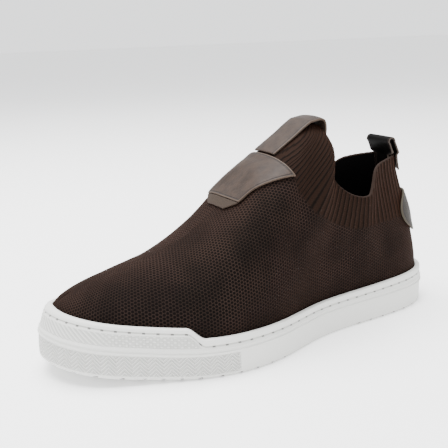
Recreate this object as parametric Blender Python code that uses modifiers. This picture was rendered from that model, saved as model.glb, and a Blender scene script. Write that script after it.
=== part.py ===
"""A left knit slip-on sneaker, in metres, standing on the floor.

+Z is up, the toe points to -Y and the shoe's outer side is +X. The origin is on the
floor, under the middle of the shoe. A station is a place around the sole's outline; from
each one a rib runs up the upper, to the collar's edge or to the ridge over the instep.
"""

from collections import namedtuple

import bmesh
import bpy
import numpy as np

# Length and widths of the sole
SOLE_LENGTH = 0.302
BALL_WIDTH = 0.1105
HEEL_WIDTH = 0.0768
TOE_SWING = 0.0155

# Heights of the sole
SIDE_HEIGHT = 0.0260
HEEL_RISE = 0.0018
BUMPER_RISE = 0.0070
LOWER_WALL = 0.0160
SOLE_FLOOR = 0.0090
TOE_SPRING = 0.0115
SPRING_START = 0.64
TOE_LEAN = 0.0060
TOE_BULGE = 0.0022

# Wall, ribs, groove and tread of the sole
SOLE_WALL = 0.0036
RIB_PROUD = 0.0008
RIB_HEIGHT = 0.0012
RIB_PITCH = 0.0026
GROOVE_DEPTH = 0.0009
GROOVE_WIDTH = 0.0008
GROOVE_DROP = 0.0062
RIM_ROUND = 0.0010
RIM_DEPTH = 0.0050
EDGE_ROUND = 0.0016
TREAD_DEPTH = 0.0014
TREAD_WIDTH = 0.0020
TREAD_PITCH = 0.0120
TREAD_ZIGZAG = 0.0045
TREAD_STEP = 0.0130

# Heights of the upper, from the floor
COLLAR_HEIGHT = 0.1145
TONGUE_HEIGHT = 0.1435
RIDGE_LEAN = 0.0050

# Thicknesses and clearances
UPPER_WALL = 0.0022
INSOLE_THICKNESS = 0.0045
INSOLE_CUP = 0.0025
LEATHER = 0.0014
STRIP_LEATHER = 0.0009
GAP = 0.0003
WALL_GAP = 0.0004
OVERLAY_GAP = 0.0010

# Leather pieces
SADDLE_REAR = 0.0128
SADDLE_SWEEP = 0.0027
SADDLE_LENGTH = 0.0296
SADDLE_REAR_HALF = 0.0395
SADDLE_FRONT_HALF = 0.0215
STRIP_LENGTH = 0.0060
STRIP_TAPER = 0.0105
STRAP_WIDTH = 0.0250
STRAP_SAG = 0.0010
STRAP_LEAVE = 0.0400
LOOP_RISE = 0.0013
LOOP_REACH = 0.0085
LOOP_ROUND = 0.0046
LOOP_TUCK = 0.0140
LOOP_LEAD = 0.0080
LOOP_DROP = 0.0020
LOOP_ARCH = 0.8
HEEL_LOOP_WIDTH = 0.0250
HEEL_LOOP_HEIGHT = 0.0138
HEEL_LOOP_GAP = 0.0043
HEEL_LOOP_TUCK = 0.0110
HEEL_LOOP_LEAN = 0.0035
HEEL_LOOP_FORWARD = 0.0092
PATCH_WIDTH = 0.0600
PATCH_WAIST = 0.0270
PATCH_HEIGHT = 0.0325
PATCH_FOOT = 0.0545

# How finely curves are cut into facets
UPPER_ROWS = 10
DENSER = 0.38
FINE = 40
SOFTEN = 28
EVENING = 6
UP = np.array([0.0, 0.0, 1.0])

HEEL_Y = SOLE_LENGTH / 2

# The outline seen from above. along: share of the sole's length from the heel. The two
# half widths are shares of half the width there, which grows from heel to ball.
Plan = namedtuple("Plan", "along outer inner")
OUTLINE = [
    Plan(0.020, 0.468, 0.470),
    Plan(0.070, 0.768, 0.770),
    Plan(0.150, 0.925, 0.950),
    Plan(0.270, 0.998, 0.950),
    Plan(0.400, 1.030, 0.800),
    Plan(0.520, 1.082, 0.740),
    Plan(0.640, 1.075, 0.865),
    Plan(0.740, 0.960, 0.936),
    Plan(0.830, 0.768, 0.890),
    Plan(0.910, 0.585, 0.775),
    Plan(0.965, 0.345, 0.585),
]

# One row for each section of the upper, from the back of the heel to the tip of the toe.
# base: share of the outline from heel to toe where the rib starts. along: share of the
# length from the heel, half: share of half the heel's width, and height: share of the
# named height, of the rib's upper end. fullness: how upright the rib leaves the sole.
# reach: how far it keeps its upper direction. closing: 0 stands up, 1 lies over the foot.
# slant: how much the upper end leans back, as a share of the lean from foot to end.
Section = namedtuple("Section", "base along half height of fullness reach closing slant")
SECTIONS = [
    Section(0.000, 0.086, 0.000, 1.001, "collar", 0.38, 0.16, 0.02, 0.00),
    Section(0.038, 0.091, 0.177, 1.001, "collar", 0.38, 0.17, 0.02, 0.00),
    Section(0.076, 0.107, 0.312, 0.999, "collar", 0.38, 0.18, 0.02, 0.00),
    Section(0.112, 0.138, 0.430, 0.991, "collar", 0.38, 0.20, 0.02, 0.00),
    Section(0.147, 0.166, 0.516, 0.980, "collar", 0.38, 0.22, 0.02, 0.00),
    Section(0.178, 0.186, 0.594, 0.961, "collar", 0.38, 0.25, 0.03, 0.00),
    Section(0.206, 0.199, 0.664, 0.926, "collar", 0.39, 0.28, 0.04, 0.00),
    Section(0.234, 0.211, 0.737, 0.863, "collar", 0.40, 0.30, 0.05, 0.00),
    Section(0.262, 0.227, 0.812, 0.814, "collar", 0.41, 0.30, 0.05, 0.00),
    Section(0.292, 0.251, 0.849, 0.810, "collar", 0.42, 0.30, 0.05, 0.00),
    Section(0.322, 0.276, 0.859, 0.827, "collar", 0.40, 0.31, 0.10, 0.50),
    Section(0.352, 0.304, 0.857, 0.864, "collar", 0.39, 0.34, 0.14, 0.40),
    Section(0.382, 0.329, 0.839, 0.922, "collar", 0.40, 0.37, 0.20, 0.20),
    Section(0.412, 0.341, 0.812, 0.990, "collar", 0.42, 0.36, 0.30, 0.30),
    Section(0.442, 0.331, 0.740, 1.062, "collar", 0.46, 0.30, 0.46, 1.20),
    Section(0.471, 0.317, 0.534, 1.156, "collar", 0.55, 0.28, 0.76, 1.80),
    Section(0.500, 0.321, 0.000, 1.005, "tongue", 0.58, 0.38, 1.00, 1.00),
    Section(0.528, 0.353, 0.000, 1.016, "tongue", 0.58, 0.38, 1.00, 1.00),
    Section(0.556, 0.397, 0.000, 0.958, "tongue", 0.60, 0.36, 1.00, 1.00),
    Section(0.585, 0.442, 0.000, 0.894, "tongue", 0.60, 0.36, 1.00, 1.00),
    Section(0.616, 0.490, 0.000, 0.820, "tongue", 0.60, 0.36, 1.00, 1.00),
    Section(0.648, 0.541, 0.000, 0.709, "tongue", 0.60, 0.36, 1.00, 1.00),
    Section(0.682, 0.598, 0.000, 0.614, "tongue", 0.60, 0.37, 1.00, 1.00),
    Section(0.718, 0.652, 0.000, 0.540, "tongue", 0.60, 0.39, 1.00, 1.00),
    Section(0.756, 0.707, 0.000, 0.483, "tongue", 0.61, 0.41, 1.00, 1.00),
    Section(0.796, 0.762, 0.000, 0.452, "tongue", 0.62, 0.43, 1.00, 1.00),
    Section(0.838, 0.813, 0.000, 0.424, "tongue", 0.63, 0.46, 1.00, 1.00),
    Section(0.880, 0.858, 0.000, 0.401, "tongue", 0.64, 0.48, 1.00, 1.00),
    Section(0.920, 0.894, 0.000, 0.377, "tongue", 0.64, 0.50, 1.00, 1.00),
    Section(0.960, 0.917, 0.000, 0.359, "tongue", 0.64, 0.50, 1.00, 1.00),
    Section(1.000, 0.924, 0.000, 0.350, "tongue", 0.64, 0.50, 1.00, 1.00),
]
RIDGE_ROW = 16

# Three stations for every two rows, and one more where the tongue's end is narrow
STATION_ROWS = sorted([k / 1.5 for k in range((len(SECTIONS) - 1) * 3 // 2 + 1)] + [15.7])
STATIONS = len(STATION_ROWS) - 1
RIDGE_STATION = STATION_ROWS.index(RIDGE_ROW)


def smoothstep(value, start, end):
    """0 before start, 1 after end, and a smooth S between them."""
    t = np.clip((value - start) / (end - start), 0.0, 1.0)
    return t * t * (3.0 - 2.0 * t)


def along(y):
    """Share of the sole's length from the heel."""
    return (HEEL_Y - y) / SOLE_LENGTH


def spring(y):
    """How far the toe's upward curve lifts the sole at y."""
    t = np.clip((along(y) - SPRING_START) / (1.0 - SPRING_START), 0.0, 1.0)
    return TOE_SPRING * t * t


def closed_spline(points, count):
    """Even points on a smooth closed curve through the given ones (a periodic cubic)."""
    points = np.asarray(points, float)
    n = len(points)
    chord = np.linalg.norm(np.roll(points, -1, 0) - points, axis=1)
    before = np.roll(chord, 1)
    matrix = np.zeros((n, n))
    rows = np.arange(n)
    matrix[rows, rows] = 2.0 * (before + chord)
    matrix[rows, (rows - 1) % n] += chord
    matrix[rows, (rows + 1) % n] += before
    ahead = (np.roll(points, -1, 0) - points) / chord[:, None]
    behind = np.roll(ahead, 1, 0)
    right = 3.0 * (ahead * before[:, None] + behind * chord[:, None])
    slope = np.linalg.solve(matrix, right)
    t = np.linspace(0.0, 1.0, FINE, endpoint=False)[None, :, None]
    a, b = points[:, None], np.roll(points, -1, 0)[:, None]
    u, v = (slope * chord[:, None])[:, None], (np.roll(slope, -1, 0) * chord[:, None])[:, None]
    cubic = (
        a * (2 * t**3 - 3 * t**2 + 1)
        + u * (t**3 - 2 * t**2 + t)
        + b * (3 * t**2 - 2 * t**3)
        + v * (t**3 - t**2)
    )
    dense = cubic.reshape(-1, points.shape[1])
    return even_points(np.vstack([dense, dense[:1]]), count + 1)[:-1]


def even_points(line, count):
    """The given number of points, evenly spaced along a line of points."""
    length = np.concatenate([[0.0], np.cumsum(np.linalg.norm(np.diff(line, axis=0), axis=1))])
    return at_length(line, length, np.linspace(0.0, length[-1], count))


def rib_points(line):
    """The rows of a rib, closer together towards its upper end, where it bends most."""
    t = np.linspace(0.0, 1.0, UPPER_ROWS)
    length = np.concatenate([[0.0], np.cumsum(np.linalg.norm(np.diff(line, axis=0), axis=1))])
    return at_length(line, length, length[-1] * t * (1.0 + DENSER * (1.0 - t)))


def at_length(line, length, wanted):
    """Points of a line at the wanted lengths along it."""
    return np.stack([np.interp(wanted, length, line[:, k]) for k in range(line.shape[1])], -1)


def half_width(row_along, share):
    """Half width of the sole: the share of half the heel's or the ball's width."""
    ball = smoothstep(row_along, 0.30, 0.62)
    return share * (HEEL_WIDTH + ball * (BALL_WIDTH - HEEL_WIDTH)) / 2.0


def outline_points():
    """Corners of the sole's outline, round from the heel by the outer side."""
    outer = [(half_width(r.along, r.outer), HEEL_Y - r.along * SOLE_LENGTH) for r in OUTLINE]
    inner = [(-half_width(r.along, r.inner), HEEL_Y - r.along * SOLE_LENGTH) for r in OUTLINE]
    return [(0.0, HEEL_Y)] + outer + [(-TOE_SWING, -HEEL_Y)] + inner[::-1]


def outline_halves():
    """The widest outline and its outward normals, dense, as (outer half, inner half)."""
    dense = closed_spline(outline_points(), 1600)
    dense[:, 0] -= (dense[:, 0].max() + dense[:, 0].min()) / 2.0
    dense[:, 1] -= (dense[:, 1].max() + dense[:, 1].min()) / 2.0
    edge = np.roll(dense, -1, 0) - np.roll(dense, 1, 0)
    normal = np.stack([-edge[:, 1], edge[:, 0]], -1)
    normal = sum(np.roll(normal, k, 0) for k in range(-SOFTEN, SOFTEN + 1))
    normal /= np.linalg.norm(normal, axis=1)[:, None]
    tip = int(dense[:, 1].argmin())
    outer = (dense[: tip + 1], normal[: tip + 1])
    back = np.arange(len(dense), tip - 1, -1) % len(dense)
    inner = (dense[back], normal[back])
    return outer, inner


def section_value(name, share):
    """A column of the section table as a smooth function of the share of the way round."""
    rows = np.array([getattr(row, name) for row in SECTIONS], float)
    return smooth_through(rows, share, level=name == "along")


def smooth_through(rows, share, level=False, corner=RIDGE_ROW):
    """A cubic through the rows, one unit apart, that may turn at the corner row.

    Level: the curve is level at heel, corner and toe, where the two sides meet.
    """
    at = np.asarray(share, float) * (len(rows) - 1)
    slope = np.gradient(rows)
    slope[0] *= not level
    slope[-1] *= not level
    before, after = slope.copy(), slope.copy()
    before[corner] = 0.0 if level else rows[corner] - rows[corner - 1]
    after[corner] = rows[corner + 1] - rows[corner]
    i = np.clip(at.astype(int), 0, len(rows) - 2)
    t = at - i
    return (
        rows[i] * (2 * t**3 - 3 * t**2 + 1)
        + after[i] * (t**3 - 2 * t**2 + t)
        + rows[i + 1] * (3 * t**2 - 2 * t**3)
        + before[i + 1] * (t**3 - t**2)
    )


def ridge_x(y):
    """The ridge over the foot leans to the inner side, as a last does, and ends at the tip."""
    forward = smoothstep(along(y), 0.36, 0.60)
    toe = smoothstep(along(y), 0.80, 1.0)
    return CENTRE_X - RIDGE_LEAN * forward - (TOE_SWING - RIDGE_LEAN) * 0.8 * toe


OUTER_HALF, INNER_HALF = outline_halves()
CENTRE_X = OUTER_HALF[0][0][0]


class Side:
    """One side of the shoe: +1 is the outer side, -1 the inner one."""

    def __init__(self, sign, half, shares):
        self.sign = sign
        line, normal = half
        length = np.concatenate([[0.0], np.cumsum(np.linalg.norm(np.diff(line, axis=0), axis=1))])
        base = section_value("base", shares) * length[-1]
        self.plan = at_length(line, length, base)
        self.normal = at_length(normal, length, base)
        self.normal /= np.linalg.norm(self.normal, axis=1)[:, None]
        self.share = shares
        self.lean = TOE_LEAN * smoothstep(along(self.plan[:, 1]), 0.70, 0.97)
        self.bulge = TOE_BULGE * smoothstep(along(self.plan[:, 1]), 0.84, 1.0)
        self.inset = RIB_PROUD + SOLE_WALL + WALL_GAP + self.lean
        self.foot = self.plan - self.normal * self.inset[:, None]
        self.lift = spring(self.plan[:, 1])
        self.ribs = self.make_ribs()

    def rim(self):
        """Height of the sole's rim at each station, with the step up to the toe bumper."""
        at = along(self.plan[:, 1])
        heel = HEEL_RISE * smoothstep(-at, -0.34, -0.04)
        bumper = BUMPER_RISE * smoothstep(at, 0.712, 0.752)
        return SIDE_HEIGHT + heel + bumper + self.lift

    def seat(self):
        """Height up to which the upper stands straight, inside the sole's rim."""
        bumper = BUMPER_RISE * smoothstep(along(self.plan[:, 1]), 0.62, 0.86)
        return SIDE_HEIGHT + bumper + self.lift - RIM_DEPTH

    def make_ribs(self):
        """Each rib as rows of points: straight up inside the sole, then a cubic curve."""
        ridge = (np.arange(STATIONS + 1) >= RIDGE_STATION)[:, None]
        y = HEEL_Y - section_value("along", self.share) * SOLE_LENGTH
        half = section_value("half", self.share) * HEEL_WIDTH / 2.0
        named = {"collar": COLLAR_HEIGHT, "tongue": TONGUE_HEIGHT}
        tall = np.array([row.height * named[row.of] for row in SECTIONS])
        z = smooth_through(tall, self.share, level=True)
        x = np.where(ridge[:, 0], ridge_x(y), CENTRE_X + self.sign * half)
        top = np.stack([x, y, z], -1)
        start = np.column_stack([self.foot, self.seat()])
        floor = np.column_stack([self.foot, SOLE_FLOOR + GAP + self.lift])
        rise = (top[:, 2] - start[:, 2])[:, None]
        across = np.linalg.norm(top[:, :2] - start[:, :2], axis=1)[:, None]

        # The ribs stand up from the sole and arrive over the foot, level with the ridge
        ahead = np.gradient(top, axis=0)
        ahead[RIDGE_STATION] = top[RIDGE_STATION + 1] - top[RIDGE_STATION]
        back = -ahead / np.maximum(np.linalg.norm(ahead, axis=1), 1e-9)[:, None]
        facing = np.column_stack([self.normal, np.zeros(len(y))])
        over = -facing * [1.0, 0.0, 0.0] + back * np.maximum(-facing[:, 1:2], 0.0)
        over = np.where(ridge, over, -facing)
        over /= np.linalg.norm(over, axis=1)[:, None]
        closing = section_value("closing", self.share)[:, None]
        slant = section_value("slant", self.share) * (top[:, 1] - start[:, 1])
        upward = np.column_stack([np.zeros(len(y)), slant, rise[:, 0]])
        upward /= np.linalg.norm(upward, axis=1)[:, None]
        end = (1.0 - closing) * upward + closing * over
        end /= np.linalg.norm(end, axis=1)[:, None]
        fullness = section_value("fullness", self.share)[:, None]
        reach = section_value("reach", self.share)[:, None]
        first = start + UP * rise * fullness
        last = top - end * reach * (closing * across + (1.0 - closing) * rise)
        t = np.linspace(0.0, 1.0, FINE)[None, :, None]
        curve = (
            start[:, None] * (1 - t) ** 3
            + first[:, None] * 3 * t * (1 - t) ** 2
            + last[:, None] * 3 * t**2 * (1 - t)
            + top[:, None] * t**3
        )
        ribs = np.array([np.vstack([a, rib_points(b)]) for a, b in zip(floor, curve)])
        return self.evened(ribs)

    def evened(self, ribs):
        """Evens the ribs out below the notch beside the tongue, where their ends spread."""
        spread = smoothstep(self.share, 0.28, 0.40) * smoothstep(-self.share, -0.68, -0.56)
        for share in (0.50, -0.44) * EVENING:
            middle = (ribs[:-2, 2:-1] + ribs[2:, 2:-1] + ribs[1:-1, 1:-2] + ribs[1:-1, 3:]) / 4.0
            ribs[1:-1, 2:-1] += share * spread[1:-1, None, None] * (middle - ribs[1:-1, 2:-1])
        return ribs

    def at_height(self, z):
        """The point of each rib at a height."""
        z = np.broadcast_to(z, len(self.share))
        found = [at_length(rib[:, :2], rib[:, 2], np.array([h]))[0] for rib, h in zip(self.ribs, z)]
        return np.column_stack([found, z])

    def wall(self, z, outset):
        """Points at a height, the given distance outside the upper's outer face."""
        point = self.at_height(z)
        point[:, :2] += self.normal * np.reshape(outset, (-1, 1))
        return point


SHARES = np.array(STATION_ROWS) / (len(SECTIONS) - 1)
OUTER = Side(1.0, OUTER_HALF, SHARES)
INNER = Side(-1.0, INNER_HALF, SHARES)


def material(name, colour, roughness, metallic=0.0):
    """A plain Principled surface."""
    made = bpy.data.materials.new(name)
    made.use_nodes = True
    shader = made.node_tree.nodes["Principled BSDF"]
    shader.inputs["Base Color"].default_value = (*colour, 1.0)
    shader.inputs["Roughness"].default_value = roughness
    shader.inputs["Metallic"].default_value = metallic
    return made


def collection(name):
    made = bpy.data.collections.new(name)
    bpy.context.scene.collection.children.link(made)
    return made


def mesh_object(name, points, faces, finish, group):
    """An object from points and faces, merged where they meet, facing outwards."""
    mesh = bpy.data.meshes.new(name)
    mesh.from_pydata([tuple(p) for p in points], [], [tuple(map(int, f)) for f in faces])
    if finish:
        mesh.materials.append(finish)
    built = bmesh.new()
    built.from_mesh(mesh)
    bmesh.ops.remove_doubles(built, verts=built.verts, dist=1e-6)
    bmesh.ops.recalc_face_normals(built, faces=built.faces)
    built.to_mesh(mesh)
    built.free()
    mesh.shade_smooth()
    made = bpy.data.objects.new(name, mesh)
    group.objects.link(made)
    return made


def ring(outer, inner):
    """A closed ring of points from the two sides, by way of heel and toe."""
    return np.vstack([outer, inner[-2:0:-1]])


def ring_at(height, outset):
    """A ring around the shoe at height(side), the outset(side) outside the upper."""
    return ring(*(side.wall(height(side), outset(side)) for side in (OUTER, INNER)))


def ring_faces(rings, size):
    """Quads between each ring and the next."""
    i, j = np.meshgrid(np.arange(rings - 1), np.arange(size), indexing="ij")
    k = (j + 1) % size
    corner = (i * size + j, i * size + k, (i + 1) * size + k, (i + 1) * size + j)
    return np.stack(corner, -1).reshape(-1, 4).tolist()


def ladder(first, size):
    """A flat cap over a ring: rungs from each outer station to the inner one."""
    half = size // 2
    faces = [(first, first + 1, first + size - 1)]
    for j in range(1, half - 1):
        faces.append((first + j, first + j + 1, first + size - j - 1, first + size - j))
    faces.append((first + half - 1, first + half, first + half + 1))
    return faces


def ring_solid(name, rings, finish, group):
    """A closed solid lofted through rings, with a cap at each end."""
    size = len(rings[0])
    points = np.vstack(rings)
    faces = ring_faces(len(rings), size)
    faces += ladder(0, size) + ladder((len(rings) - 1) * size, size)
    return mesh_object(name, points, faces, finish, group)


def grid_faces(rows, columns):
    """Quads of a sheet of rows by columns of points."""
    i, j = np.meshgrid(np.arange(rows - 1), np.arange(columns - 1), indexing="ij")
    a = i * columns + j
    return np.stack((a, a + columns, a + columns + 1, a + 1), -1).reshape(-1, 4).tolist()


def solidify(made, thickness, offset):
    """Gives an open sheet its thickness: offset 1 adds it outside, -1 inside."""
    shell = made.modifiers.new("thickness", "SOLIDIFY")
    shell.thickness = thickness
    shell.offset = offset
    shell.use_even_offset = True
    shell.thickness_clamp = 1.0
    return made


# The cupsole: one moulded rubber cup, from its tread up to the rolled rim
Edge = namedtuple("Edge", "of height outset leans")


def cup_profile():
    """The cup's section, from its tread up, over the rim and down into the cup.

    of: what the height is measured from. outset: from the upper. leans: 1 for the
    outer face, which leans inwards at the toe.
    """
    wall = SOLE_WALL + WALL_GAP
    proud = wall + RIB_PROUD
    second = LOWER_WALL + RIB_PITCH
    return [
        Edge("tread", 0.0, proud - EDGE_ROUND * 1.6, 1),
        Edge("tread", EDGE_ROUND * 0.4, proud - EDGE_ROUND * 0.7, 1),
        Edge("tread", EDGE_ROUND * 1.8, wall, 1),
        Edge("tread", LOWER_WALL, wall, 1),
        Edge("tread", LOWER_WALL + RIB_HEIGHT * 0.3, proud, 1),
        Edge("tread", LOWER_WALL + RIB_HEIGHT, proud, 1),
        Edge("tread", LOWER_WALL + RIB_HEIGHT * 1.3, wall, 1),
        Edge("tread", second, wall, 1),
        Edge("tread", second + RIB_HEIGHT * 0.6, wall + RIB_PROUD * 0.7, 1),
        Edge("tread", second + RIB_HEIGHT * 1.2, wall - RIB_PROUD * 0.2, 1),
        Edge("rim", -GROOVE_DROP - GROOVE_WIDTH * 0.5, wall - RIB_PROUD * 0.2, 1),
        Edge("rim", -GROOVE_DROP, wall - GROOVE_DEPTH, 1),
        Edge("rim", -GROOVE_DROP + GROOVE_WIDTH, wall, 1),
        Edge("rim", -RIM_ROUND, wall, 1),
        Edge("rim", 0.0, wall - RIM_ROUND, 1),
        Edge("rim", 0.0, WALL_GAP + RIM_ROUND * 0.6, 0),
        Edge("rim", -RIM_ROUND, WALL_GAP, 0),
        Edge("lip", 0.0, WALL_GAP, 0),
        Edge("seat", 0.0, WALL_GAP, 0),
        Edge("tread", SOLE_FLOOR, WALL_GAP, 0),
    ]


def cup_ring(edge):
    """A ring of the cup's section around the shoe."""

    def height(side):
        level = {"tread": side.lift, "seat": side.seat(), "rim": side.rim()}
        level["lip"] = (level["seat"] + level["rim"] - RIM_ROUND) / 2.0
        return edge.height + level[edge.of]

    def outset(side):
        share = (height(side) - side.lift) / (side.rim() - side.lift)
        lean = side.lean * (1.0 - share) + side.bulge * np.sin(np.pi * np.clip(share, 0.0, 1.0))
        return edge.outset + edge.leans * lean

    return ring_at(height, outset)


def tread_cutters(group):
    """Zigzag grooves across the forefoot and the heel, each its own closed strip."""
    reach = BALL_WIDTH * 0.62
    x = np.arange(-reach, reach + TREAD_STEP, TREAD_STEP)
    zigzag = TREAD_ZIGZAG / 2.0 * (-1.0) ** np.arange(len(x))
    rows = list(np.arange(HEEL_Y - 0.012, HEEL_Y - 0.29 * SOLE_LENGTH, -TREAD_PITCH))
    rows += list(np.arange(HEEL_Y - 0.52 * SOLE_LENGTH, -HEEL_Y + 0.010, -TREAD_PITCH))
    points, faces = [], []
    for middle in rows:
        first = len(points)
        for side in (-1.0, 1.0):
            y = middle + zigzag + side * TREAD_WIDTH / 2.0
            for height in (-TREAD_DEPTH, TREAD_DEPTH):
                points += list(zip(x, y, spring(y) + height))
        n = len(x)
        order = (0, n, 3 * n, 2 * n)
        for k in range(n - 1):
            for a, b in zip(order, order[1:] + order[:1]):
                faces.append((first + a + k, first + a + k + 1, first + b + k + 1, first + b + k))
        faces.append([first + a for a in order])
        faces.append([first + a + n - 1 for a in order])
    cutter = mesh_object("tread_grooves", points, faces, None, group)
    cutter.hide_render = True
    cutter.display_type = "WIRE"
    return cutter


def make_cupsole(finish, group, helpers):
    cup = ring_solid("cupsole", [cup_ring(edge) for edge in cup_profile()], finish, group)
    cut = cup.modifiers.new("tread", "BOOLEAN")
    cut.operation = "DIFFERENCE"
    cut.solver = "EXACT"
    cut.object = tread_cutters(helpers)
    return cup


# The insole: a foam footbed with a raised edge, on the cup's floor inside the upper
def make_insole(finish, group):
    bed = SOLE_FLOOR + GAP
    inside = -(UPPER_WALL + GAP)

    def row(height, outset):
        return ring_at(lambda side: height + side.lift, lambda side: np.full(len(side.share), outset))

    top = bed + INSOLE_THICKNESS
    rings = [
        row(bed, inside - 0.0010),
        row(bed + 0.0010, inside),
        row(top + INSOLE_CUP * 0.6, inside),
        row(top + INSOLE_CUP, inside - 0.0014),
        row(top, inside - 0.0110),
    ]
    return ring_solid("insole", rings, finish, group)


# The upper: one knitted sock, open at the collar and underneath
def make_upper(finish, group):
    rows = range(UPPER_ROWS + 1)
    outside = np.array([ring(OUTER.ribs[:, k], INNER.ribs[:, k]) for k in rows])
    size = outside.shape[1]
    ahead = np.roll(outside, -1, 1) - np.roll(outside, 1, 1)
    ahead[-1, STATIONS] = ahead[-2, STATIONS]
    normal = np.cross(ahead, np.gradient(outside, axis=0))
    normal /= np.linalg.norm(normal, axis=2)[..., None]

    # The two sides meet along the ridge and share their normals there
    ridge = np.arange(RIDGE_STATION, STATIONS)
    shared = normal[-1, ridge] + normal[-1, size - ridge]
    shared /= np.linalg.norm(shared, axis=1)[:, None]
    normal[-1, ridge] = normal[-1, size - ridge] = shared
    normal *= np.sign(normal[0, 0, 1])
    inside = outside - normal * UPPER_WALL

    layer = outside.size // 3
    top = layer - size
    faces = ring_faces(len(rows), size)
    faces += [[layer + k for k in face] for face in faces]
    faces += [(j, (j + 1) % size, layer + (j + 1) % size, layer + j) for j in range(size)]
    open_edge = list(range(RIDGE_STATION)) + list(range(size - RIDGE_STATION, size))
    for j in open_edge:
        k = (j + 1) % size
        faces.append((top + j, top + k, layer + top + k, layer + top + j))
    points = np.vstack([outside.reshape(-1, 3), inside.reshape(-1, 3)])
    return mesh_object("upper", points, faces, finish, group)


def on_instep(y, girth):
    """The point of the upper at y, the signed girth down from the ridge (+ is outer)."""
    ribs = (OUTER if girth >= 0 else INNER).ribs[RIDGE_STATION:]
    line = [
        at_length(row, -row[:, 1], np.array([-y]))[0]
        for row in ribs.swapaxes(0, 1)[::-1]
        if row[0, 1] >= y
    ]
    return at_girth(np.array(line), abs(girth))


def on_rib(y, girth):
    """The point of the upper the signed girth down the rib that meets the ridge at y."""
    ribs = (OUTER if girth >= 0 else INNER).ribs
    at = np.interp(-y, -ribs[RIDGE_STATION:, -1, 1], np.arange(RIDGE_STATION, STATIONS + 1))
    i = min(int(at), STATIONS - 1)
    rib = ribs[i] + (ribs[i + 1] - ribs[i]) * (at - i)
    return at_girth(rib[::-1], abs(girth))


def on_heel(across, height):
    """The point of the upper at a height, the signed distance round from the heel's middle."""
    side = OUTER if across >= 0 else INNER
    return at_girth(side.at_height(height)[: RIDGE_STATION // 2], abs(across))


def at_girth(line, girth):
    """The point of a line at a distance along it."""
    length = np.concatenate([[0.0], np.cumsum(np.linalg.norm(np.diff(line, axis=0), axis=1))])
    return at_length(line, length, np.array([girth]))[0]


def normals(points, outside):
    """Unit normals of a grid of points, turned towards a direction in its middle."""
    normal = np.cross(np.gradient(points, axis=1), np.gradient(points, axis=0))
    normal /= np.linalg.norm(normal, axis=2)[..., None]
    middle = normal[len(points) // 2, points.shape[1] // 2]
    return normal if middle @ outside > 0 else -normal


def sheet(name, points, thickness, offset, outside, finish, group):
    """A leather sheet over a grid of points, given its thickness."""
    points = np.asarray(points)
    rows, columns = points.shape[:2]
    made = mesh_object(name, points.reshape(-1, 3), grid_faces(rows, columns), finish, group)
    face = made.data.polygons[len(made.data.polygons) // 2]
    if np.array(face.normal) @ outside < 0:
        made.data.flip_normals()
    return solidify(made, thickness, offset)


def lay_on(name, points, thickness, outside, finish, group):
    """A sheet laid on the upper, a small gap off its outer face."""
    points = np.asarray(points)
    lifted = points + normals(points, outside) * OVERLAY_GAP
    return sheet(name, lifted, thickness, 1.0, outside, finish, group)


# The saddle: a leather panel over the instep, with a thin strip at its toe-side edge
def saddle_edge(y):
    """Half the saddle's girth at y: wide at the tongue, narrow towards the toe."""
    t = (SADDLE_REAR - y) / SADDLE_LENGTH
    return SADDLE_REAR_HALF + (SADDLE_FRONT_HALF - SADDLE_REAR_HALF) * t


def make_saddle(finish, group):
    across = np.linspace(-1.0, 1.0, 17)
    rear = SADDLE_REAR + SADDLE_SWEEP * across**2
    front = SADDLE_REAR - SADDLE_LENGTH
    points = []
    for t in np.linspace(0.0, 1.0, 8):
        half = saddle_edge(SADDLE_REAR - SADDLE_LENGTH * t)
        points.append([on_instep(y + (front - y) * t, s * half) for s, y in zip(across, rear)])
    return lay_on("instep_saddle", points, LEATHER, UP, finish, group)


def make_strip(finish, group):
    rear = SADDLE_REAR - SADDLE_LENGTH - GAP
    points = []
    for t in np.linspace(0.0, 1.0, 3):
        half = SADDLE_FRONT_HALF - STRIP_TAPER * t
        points.append([on_instep(rear - STRIP_LENGTH * t, s * half) for s in np.linspace(-1.0, 1.0, 11)])
    return lay_on("saddle_strip", points, STRIP_LEATHER, UP, finish, group)


# Loops: a strip of leather along a line of rows, each row five points across
ACROSS = np.linspace(-1.0, 1.0, 5)


def arc(centre, start, end, count):
    """Points (y, z) round a centre, from one point to another through the given turn."""
    offset = start - centre
    angle = np.radians(np.linspace(0.0, end, count))
    return centre + np.stack(
        [
            offset[0] * np.cos(angle) - offset[1] * np.sin(angle),
            offset[0] * np.sin(angle) + offset[1] * np.cos(angle),
        ],
        -1,
    )


def free_row(middle, width, sag):
    """A row of a strap off the upper: its middle (y, z) and how its edges fall away."""
    x = ridge_x(middle[0]) + ACROSS * width / 2.0
    return np.column_stack([x, middle[0] + sag[0] * ACROSS**2, middle[1] + sag[1] * ACROSS**2])


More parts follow.
